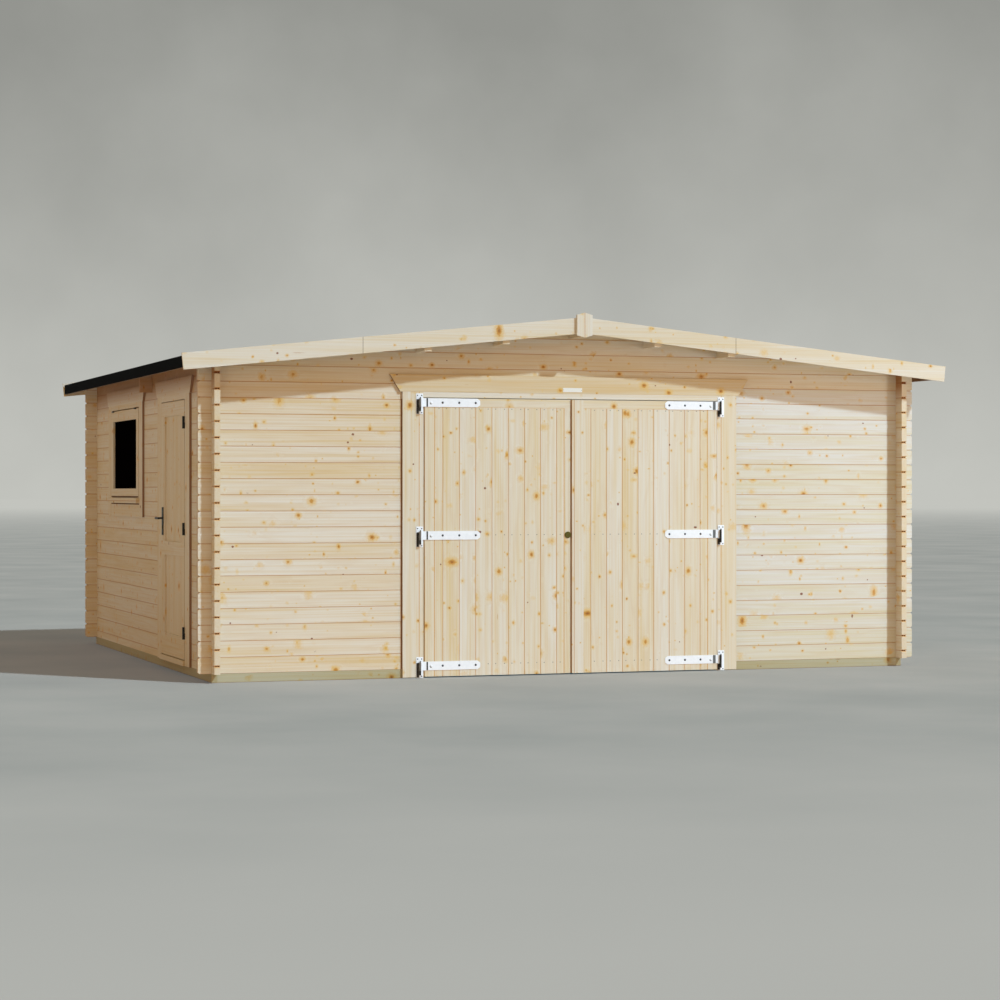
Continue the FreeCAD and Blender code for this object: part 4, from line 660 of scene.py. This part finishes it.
# %% Butt joints
BARGE_JOINTS = (-1.752, 1.269)
BARGE_HEIGHT = 0.123
BUTT_GAP = 0.003
SLOPE = 0.105

butts = []
for place in BARGE_JOINTS:
    low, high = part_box("barge_boards_left" if place < 0 else "barge_boards_right")
    ridge_top = high[2] - SLOPE * abs(place)
    near, far, under, over = place - BUTT_GAP / 2, place + BUTT_GAP / 2, ridge_top - BARGE_HEIGHT, ridge_top - 0.0005
    outline = np.array([(near, under), (far, under), (far, over), (near, over)])
    for deep, shallow in ((low[1] + 0.0005, low[1] - 0.0004), (high[1] + 0.0004, high[1] - 0.0005)):
        outlines = np.empty((2, 4, 3))
        outlines[..., 0], outlines[..., 2] = outline[:, 0], outline[:, 1]
        outlines[..., 1] = np.array([deep, shallow])[:, None]
        butts.append(outlines)
butt_line = plain_material("butt_joint", "#7A5A38", "#5E4226", 0.01, (0.8, 0.9))
make_piece("barge_butt_joints", np.array(butts), butt_line, "garage")

# %% [markdown]
# ## Nails in the garage leaves
# Each plank is nailed to the three rails with two nails, a thumb's width from its edges. The heads are sunk a
# little and weather to grey, so they are low discs of 6 mm. They are drawn at 8 mm, so that they show from 20 m.

# %% Nail heads
NAIL_RADIUS = 0.004
NAIL_LEVELS = (2.04, 1.079, 0.095)
NAIL_FROM_JOINT = 0.03
PLANK_JOINTS = 1.126 - 0.065 - PLANK_PITCH * np.arange(9)

dull_steel = plain_material("nail_steel", "#A3978A", "#7E746A", 0.004, (0.4, 0.6), metallic=0.4)
for word, side, stop in (("left", -1, 0.08), ("right", 1, 0.13)):
    leaf_low, leaf_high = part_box(word + "_leaf_boards")
    middles = PLANK_JOINTS[PLANK_JOINTS > stop]
    spots = np.concatenate([middles + NAIL_FROM_JOINT, middles - NAIL_FROM_JOINT])
    spots = spots[(spots < 1.11) & (spots > stop)]
    grid = np.array([(side * spot, leaf_low[1], level) for level in NAIL_LEVELS for spot in spots])
    raised("nail_heads_" + word, "front", grid, (2 * NAIL_RADIUS, 2 * NAIL_RADIUS), NAIL_RADIUS,
           [(0.0, -0.0005), (0.0, 0.0003), (0.001, 0.0006)], dull_steel, word + "_leaf", steps=8)

# %% [markdown]
# ## Joints between stiles, rails and planks
# Where a stile meets the planks, and where the casing meets the post behind it, the joint is a thin shaded line.

# %% Joint lines
JOINT_LINE = 0.006
FRAME_JOINTS = (1.126, 0.079)
POST_JOINT, POST_LINE = 1.246, 0.005
SHADE_WIDTH, SHADE_MIDDLE, SHADE_HEIGHT = 0.007, 1.09, 2.04
joint_brown = plain_material("joint_line", "#D6A25C", "#C4904C", 0.02, (0.7, 0.8))
line_profile = [(0.0, -0.0004), (0.0, 0.0003)]
for word, side in (("left", -1), ("right", 1)):
    low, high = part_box(word + "_leaf_boards")
    middle = (low[2] + high[2]) / 2
    stiles = [(side * place, low[1], middle) for place in FRAME_JOINTS]
    raised("stile_joints_" + word, "front", stiles, (JOINT_LINE, high[2] - low[2]), 0.0005, line_profile, joint_brown,
           word + "_leaf", steps=4)
    raised("rail_joint_" + word, "front", [(side * sum(FRAME_JOINTS) / 2, low[1], high[2])],
           (FRAME_JOINTS[0] - FRAME_JOINTS[1], 0.002), 0.0005, line_profile, joint_brown, word + "_leaf",
           steps=4)
low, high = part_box("garage_casings")
wall_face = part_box("front_gable")[0][1]
shaded_edge = plain_material("shaded_edge", "#946438", "#82542C", 0.02, (0.8, 0.9))
raised("casing_shade", "front", [(low[0] - SHADE_WIDTH / 2, wall_face, SHADE_MIDDLE)],
       (SHADE_WIDTH, SHADE_HEIGHT), 0.0005, line_profile, shaded_edge, "garage", steps=4)
raised("post_joints", "front", [(side * POST_JOINT, low[1], (low[2] + high[2]) / 2) for side in (-1, 1)],
       (POST_LINE, high[2] - low[2]), 0.0005, line_profile, joint_brown, "garage", steps=4)

# %% [markdown]
# ## Window lines
# The sash stands off its sill and the sill stands off the casing, and the shade under each is painted as a dark line.

# %% Lines under the sash and the sill
LINE_DROP, LINE_HEIGHT = 0.006, 0.01
dark_line = plain_material("shaded_line", "#6E4420", "#5A3618", 0.02, (0.8, 0.9))
for name, node, base in (("sill_line", "window_sill", "window_lower_casing"),
                         ("sash_line", "window_sash", "window_sash")):
    low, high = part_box(node)
    drop = LINE_DROP if node == base else -LINE_DROP
    raised(name, "left", [(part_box(base)[0][0], (low[1] + high[1]) / 2, low[2] + drop)],
           (high[1] - low[1] - 0.004, LINE_HEIGHT), 0.0005, line_profile, dark_line, "garage", steps=4)

# %% [markdown]
# ## Strap hinges
# A coach bolt with a dark head holds each strap in three places, and the strap is pressed round its pin. The shade in
# that crease is painted as a line beside the eye, dark on the left strap and grey on the right, and each lug has a
# grey disc offset down and to the left of it, its painted shadow. The plate on the casing has four screws, and a
# black strip beside each pin is the pin's painted shadow.

# %% Bolts, pressed lines and screws
BOLT_RADIUS = 0.0085
BOLT_PLACES = (1.063, 0.931, 0.799)
STRAP_LEVELS = (2.085, 1.077, 0.089)
SEAMS = {"left": (1.186, 0.012), "right": (1.181, 0.024)}
STRAP_HEIGHT = 0.064
LUG_PLACE, LUG_RADIUS = 1.153, 0.0095
SCREW_PLACES = [(1.227, 0.053), (1.259, 0.053), (1.227, -0.077), (1.259, -0.077)]
SCREW_RADIUS = 0.005
pressed = [(0.0, -0.0005), (0.0, 0.0004)]
PIN_SHADOWS = {"left": (1.2585, -0.031, 0.11), "right": (1.2245, -0.061, 0.048)}
dark_bolt = plain_material("blued_bolt", "#3A3B3C", "#565758", 0.004, (0.4, 0.55), metallic=0.6)
shadow = plain_material("painted_slot_shade", "#26241F", "#33302A", 0.004, (0.6, 0.7))
pin_shadow = plain_material("painted_pin_shadow", "#2A2724", "#3A3632", 0.01, (0.6, 0.75))
grey_shade = plain_material("shaded_strap", "#6C6D6A", "#5C5D5A", 0.01, (0.6, 0.7))

for word, side in (("left", -1), ("right", 1)):
    strap_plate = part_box(word + "_leaf_boards")[0][1] - 0.005
    heads = np.array([(side * place, strap_plate, level) for level in STRAP_LEVELS for place in BOLT_PLACES])
    raised("strap_bolts_" + word, "front", heads, (2 * BOLT_RADIUS, 2 * BOLT_RADIUS), BOLT_RADIUS,
           dome(BOLT_RADIUS, 0.004), dark_bolt, word + "_leaf", steps=16)
    seams = np.array([(side * SEAMS[word][0], strap_plate, level) for level in STRAP_LEVELS])
    raised("strap_seams_" + word, "front", seams, (SEAMS[word][1], STRAP_HEIGHT), 0.002,
           pressed, shadow if side < 0 else grey_shade, word + "_leaf", steps=8)
    lugs = np.array([(side * LUG_PLACE, strap_plate, level - 0.002) for level in STRAP_LEVELS])
    # A grey disc offset down and to the left behind each lug is its painted shadow.
    raised("strap_lug_shadows_" + word, "front", lugs + (-0.003, 0.0, -0.003), (2 * LUG_RADIUS, 2 * LUG_RADIUS),
           LUG_RADIUS, pressed, grey_shade, word + "_leaf", steps=16)
    raised("strap_lugs_" + word, "front", lugs + (0.001, 0.0, 0.001), (1.9 * LUG_RADIUS, 1.9 * LUG_RADIUS),
           0.95 * LUG_RADIUS, dome(0.95 * LUG_RADIUS, 0.003), zinc, word + "_leaf", steps=16)
    hinge_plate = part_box("garage_casings")[0][1] - 0.003
    # A black strip on the plate left of each pin is the pin's painted shadow.
    across, up, length = PIN_SHADOWS[word]
    pin_shadow_places = np.array([(side * across, hinge_plate, level + up) for level in STRAP_LEVELS])
    raised("pin_shadows_" + word, "front", pin_shadow_places, (0.018, length), 0.003,
           [(0.0, -0.0005), (0.0, 0.0025), (0.001, 0.003)], pin_shadow, "garage")
    screws = np.array([(side * across, hinge_plate, level + up) for level in STRAP_LEVELS
                       for across, up in SCREW_PLACES])
    raised("plate_screws_" + word, "front", screws, (2 * SCREW_RADIUS, 2 * SCREW_RADIUS), SCREW_RADIUS,
           dome(SCREW_RADIUS, 0.002), dark_bolt, "garage")

# %% [markdown]
# ## Lock and handle
# The round rose has a cylinder with a keyhole. The long plate has a screw at each end and a cylinder below the lever.

# %% Cylinders, keyholes and screws
LOCK_PLACE = (-0.05, 1.076)
HANDLE_ALONG = -0.7725
KEYHOLE_LEVEL = 1.122

lock_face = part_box("left_leaf_lock")[0][1]
raised("lock_cylinder", "front", [(LOCK_PLACE[0], lock_face, LOCK_PLACE[1])], (0.017, 0.017), 0.0085,
       [(0.0, -0.0005), (0.0, 0.002), (0.0008, 0.0026)], brass, "left_leaf", steps=24)
# The keyholes here and on the handle are dark sheets: painted shade of the holes.
raised("lock_keyhole", "front", [(LOCK_PLACE[0], lock_face - 0.0026, LOCK_PLACE[1])], (0.0018, 0.009), 0.0008,
       line_profile, shadow, "left_leaf", steps=8)
handle_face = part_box("side_door_handle_plate")[0][0]
raised("handle_cylinder", "left", [(handle_face, HANDLE_ALONG, KEYHOLE_LEVEL)], (0.0165, 0.032), 0.008,
       [(0.0, -0.0005), (0.0, 0.002), (0.0006, 0.0024)], brass, "side_door", steps=24)
raised("handle_keyhole", "left", [(handle_face - 0.0024, HANDLE_ALONG, KEYHOLE_LEVEL + 0.007)], (0.0018, 0.008),
       0.0008, line_profile, shadow, "side_door", steps=8)
raised("handle_screws", "left", [(handle_face, HANDLE_ALONG, level) for level in (1.0745, 1.2715)], (0.009, 0.009),
       0.0045, dome(0.0045, 0.0015), dark_bolt, "side_door")

# %% [markdown]
# ## Plate over the doorway
# A small bare white plate is screwed to the header board.

# %% Header plate
PLATE_CENTRE_X, PLATE_CENTRE_Z = -0.007, 2.194
PLATE_SIZE = (0.157, 0.032)
white_plate = plain_material("white_sheet", "#ECE8DC", "#E3E0D6", 0.01, (0.35, 0.45))
header_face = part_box("garage_header_board")[0][1]
raised("header_plate", "front", [(PLATE_CENTRE_X, header_face, PLATE_CENTRE_Z)], PLATE_SIZE, 0.003,
       [(0.0, -0.0005), (0.0, 0.001), (0.0006, 0.0016)], white_plate, "garage", steps=24)
raised("header_plate_screws", "front",
       [(PLATE_CENTRE_X + offset, header_face - 0.0016, PLATE_CENTRE_Z) for offset in (-0.073, 0.073)],
       (0.005, 0.005), 0.0025, dome(0.0025, 0.0012), dull_steel, "garage")

# %% [markdown]
# ## The camera
# The camera stands where the picture was taken: low, level and a little to the left, with a long lens.

# %% Camera
CAMERA_PLACE = (-6.764, -20.528, 1.416)
VIEW_TURN = math.radians(18.891)
camera_data = bpy.data.cameras.new("camera")
camera_data.sensor_width = 36.0
camera_data.lens = 89.56
camera_data.shift_y = -0.00923
camera = bpy.data.objects.new("camera", camera_data)
bpy.context.scene.collection.objects.link(camera)
camera.location = CAMERA_PLACE
camera.rotation_euler = (math.pi / 2, 0.0, -VIEW_TURN)
bpy.context.scene.camera = camera

# %% [markdown]
# ## Light
# One soft sun stands to the front right, as the shadows in the picture say, and a card low at the same side throws
# some of it under the eave. The world fills the shade: warm light comes from low down and most of it from the
# front, and duller light from above. The floor fades into the background far away, so that the studio has no
# corners. Metal and glass show the same plain background as the camera does.

# %% Sun, world and floor
SUN_WAY = Vector((0.79, -1.0, 1.146))
WALL_TONE = "#C3C4BE"
sun_data = bpy.data.lights.new("sun", "SUN")
sun_data.energy = 3.35
sun_data.color = linear("#BFE2FF")[:3]
sun_data.angle = math.radians(2.5)
sun = bpy.data.objects.new("sun", sun_data)
sun.rotation_mode = "QUATERNION"
sun.rotation_quaternion = SUN_WAY.to_track_quat("Z", "Y")
bpy.context.scene.collection.objects.link(sun)

card_data = bpy.data.lights.new("reflector_card", "SPOT")
card_data.energy = 560.0
card_data.color = linear("#F4F6FC")[:3]
card_data.spot_size = math.radians(36.0)
card_data.spot_blend = 1.0
card_data.shadow_soft_size = 0.6
card = bpy.data.objects.new("reflector_card", card_data)
card.location = (7.3, -8.2, 0.9)
card.rotation_mode = "QUATERNION"
card.rotation_quaternion = (Vector(card.location) - Vector((2.6, -2.5, 1.9))).to_track_quat("Z", "Y")
bpy.context.scene.collection.objects.link(card)

world = bpy.data.worlds.new("studio")
bpy.context.scene.world = world
world.use_nodes = True
sky = world.node_tree
sky.nodes.clear()
rays = add(sky, "LightPath").outputs
through = add(sky, "Math", {0: rays["Is Camera Ray"], 1: rays["Is Transmission Ray"]},
              operation="MAXIMUM").outputs[0]
seen = add(sky, "Math", {0: through, 1: rays["Is Glossy Ray"]}, operation="MAXIMUM").outputs[0]
way = add(sky, "TexCoord").outputs["Generated"]
_, inwards, up = add(sky, "SeparateXYZ", {0: way}).outputs
height = add(sky, "MapRange", {"Value": up, 1: 0.1, 2: 0.7}, interpolation_type="SMOOTHSTEP")
dome_light = add(sky, "Mix", {"Factor": height.outputs[0], 6: linear("#E6B275"),
                              7: linear("#95978B")}, data_type="RGBA").outputs[2]
from_front = add(sky, "MapRange", {"Value": inwards, 1: -1.0, 2: 1.0, 3: 1.3, 4: 0.7}).outputs[0]
fill = add(sky, "Background", {"Color": dome_light, "Strength": from_front}).outputs[0]
wall_height = add(sky, "MapRange", {"Value": up, 1: 0.0, 2: 0.2}).outputs[0]
plaster = add(sky, "TexNoise", {"Vector": way, "Scale": 9.0, "Detail": 8.0}).outputs[0]
blotch = add(sky, "Math", {0: plaster, 1: 0.9, 2: wall_height}, operation="MULTIPLY_ADD").outputs[0]
blotched = add(sky, "Math", {0: blotch, 1: 0.45}, operation="SUBTRACT").outputs[0]
wall_tone = add(sky, "Mix", {"Factor": blotched, 6: linear(WALL_TONE), 7: linear("#949590")},
                data_type="RGBA").outputs[2]
backdrop = add(sky, "Background", {"Color": wall_tone, "Strength": 1.0}).outputs[0]
both = add(sky, "MixShader", {0: seen, 1: fill, 2: backdrop}).outputs[0]
add(sky, "OutputWorld", {"Surface": both})


def studio_floor(radius=400.0, sides=96):
    """A flat disc: every point is the radius times the cosine and sine of its angle.

    What the floor throws back at the building is warmer than what the camera sees of it, as from a wooden stage.
    A faint glow is added to it, painted light that keeps its shadow grey, and it is painted lighter towards the
    camera, a painted pool of light."""
    angles = np.arange(sides) * TURN / sides
    points = np.stack([radius * np.cos(angles), radius * np.sin(angles), np.full(sides, -0.001)], axis=1)
    mesh = bpy.data.meshes.new("studio_floor")
    mesh.from_pydata(points.tolist(), [], [list(range(sides))])
    floor = bpy.data.objects.new("studio_floor", mesh)
    bpy.context.scene.collection.objects.link(floor)
    material, tree = empty_material("studio_floor")
    where = add(tree, "TexCoord").outputs["Object"]
    away = add(tree, "VectorMath", {0: where}, operation="LENGTH").outputs["Value"]
    fade = add(tree, "MapRange", {"Value": away, 1: 30.0, 2: 200.0}, interpolation_type="SMOOTHSTEP")
    cloud = add(tree, "TexNoise", {"Vector": where, "Scale": 0.6, "Detail": 7.0}).outputs[0]
    mottled = add(tree, "Mix", {"Factor": cloud, 6: linear("#9F9283"), 7: linear("#C3B2A1")},
                  data_type="RGBA").outputs[2]
    forward = add(tree, "SeparateXYZ", {0: where}).outputs[1]
    # Painted light: the floor is lighter towards the camera.
    front_light_share = add(tree, "MapRange", {"Value": forward, 1: -6.5, 2: -13.5}).outputs[0]
    mottled = add(tree, "Mix", {"Factor": front_light_share, 6: mottled, 7: linear("#C6B5A4")},
                  data_type="RGBA").outputs[2]
    bounced = add(tree, "LightPath").outputs["Is Diffuse Ray"]
    tone = add(tree, "Mix", {"Factor": bounced, 6: mottled, 7: linear("#DEC4B0")}, data_type="RGBA")
    ground = add(tree, "BsdfDiffuse", {"Color": tone.outputs[2]}).outputs[0]
    # Painted light: a faint glow that keeps the floor's shadow grey.
    floor_glow = add(tree, "Emission", {"Color": linear("#103645")}).outputs[0]
    glowing_ground = add(tree, "AddShader", {0: ground, 1: floor_glow}).outputs[0]
    far = add(tree, "Emission", {"Color": linear(WALL_TONE)}).outputs[0]
    blend = add(tree, "MixShader", {0: fade.outputs[0], 1: glowing_ground, 2: far}).outputs[0]
    add(tree, "OutputMaterial", {"Surface": blend})
    mesh.materials.append(material)


studio_floor()
bpy.context.scene.view_settings.view_transform = "Standard"
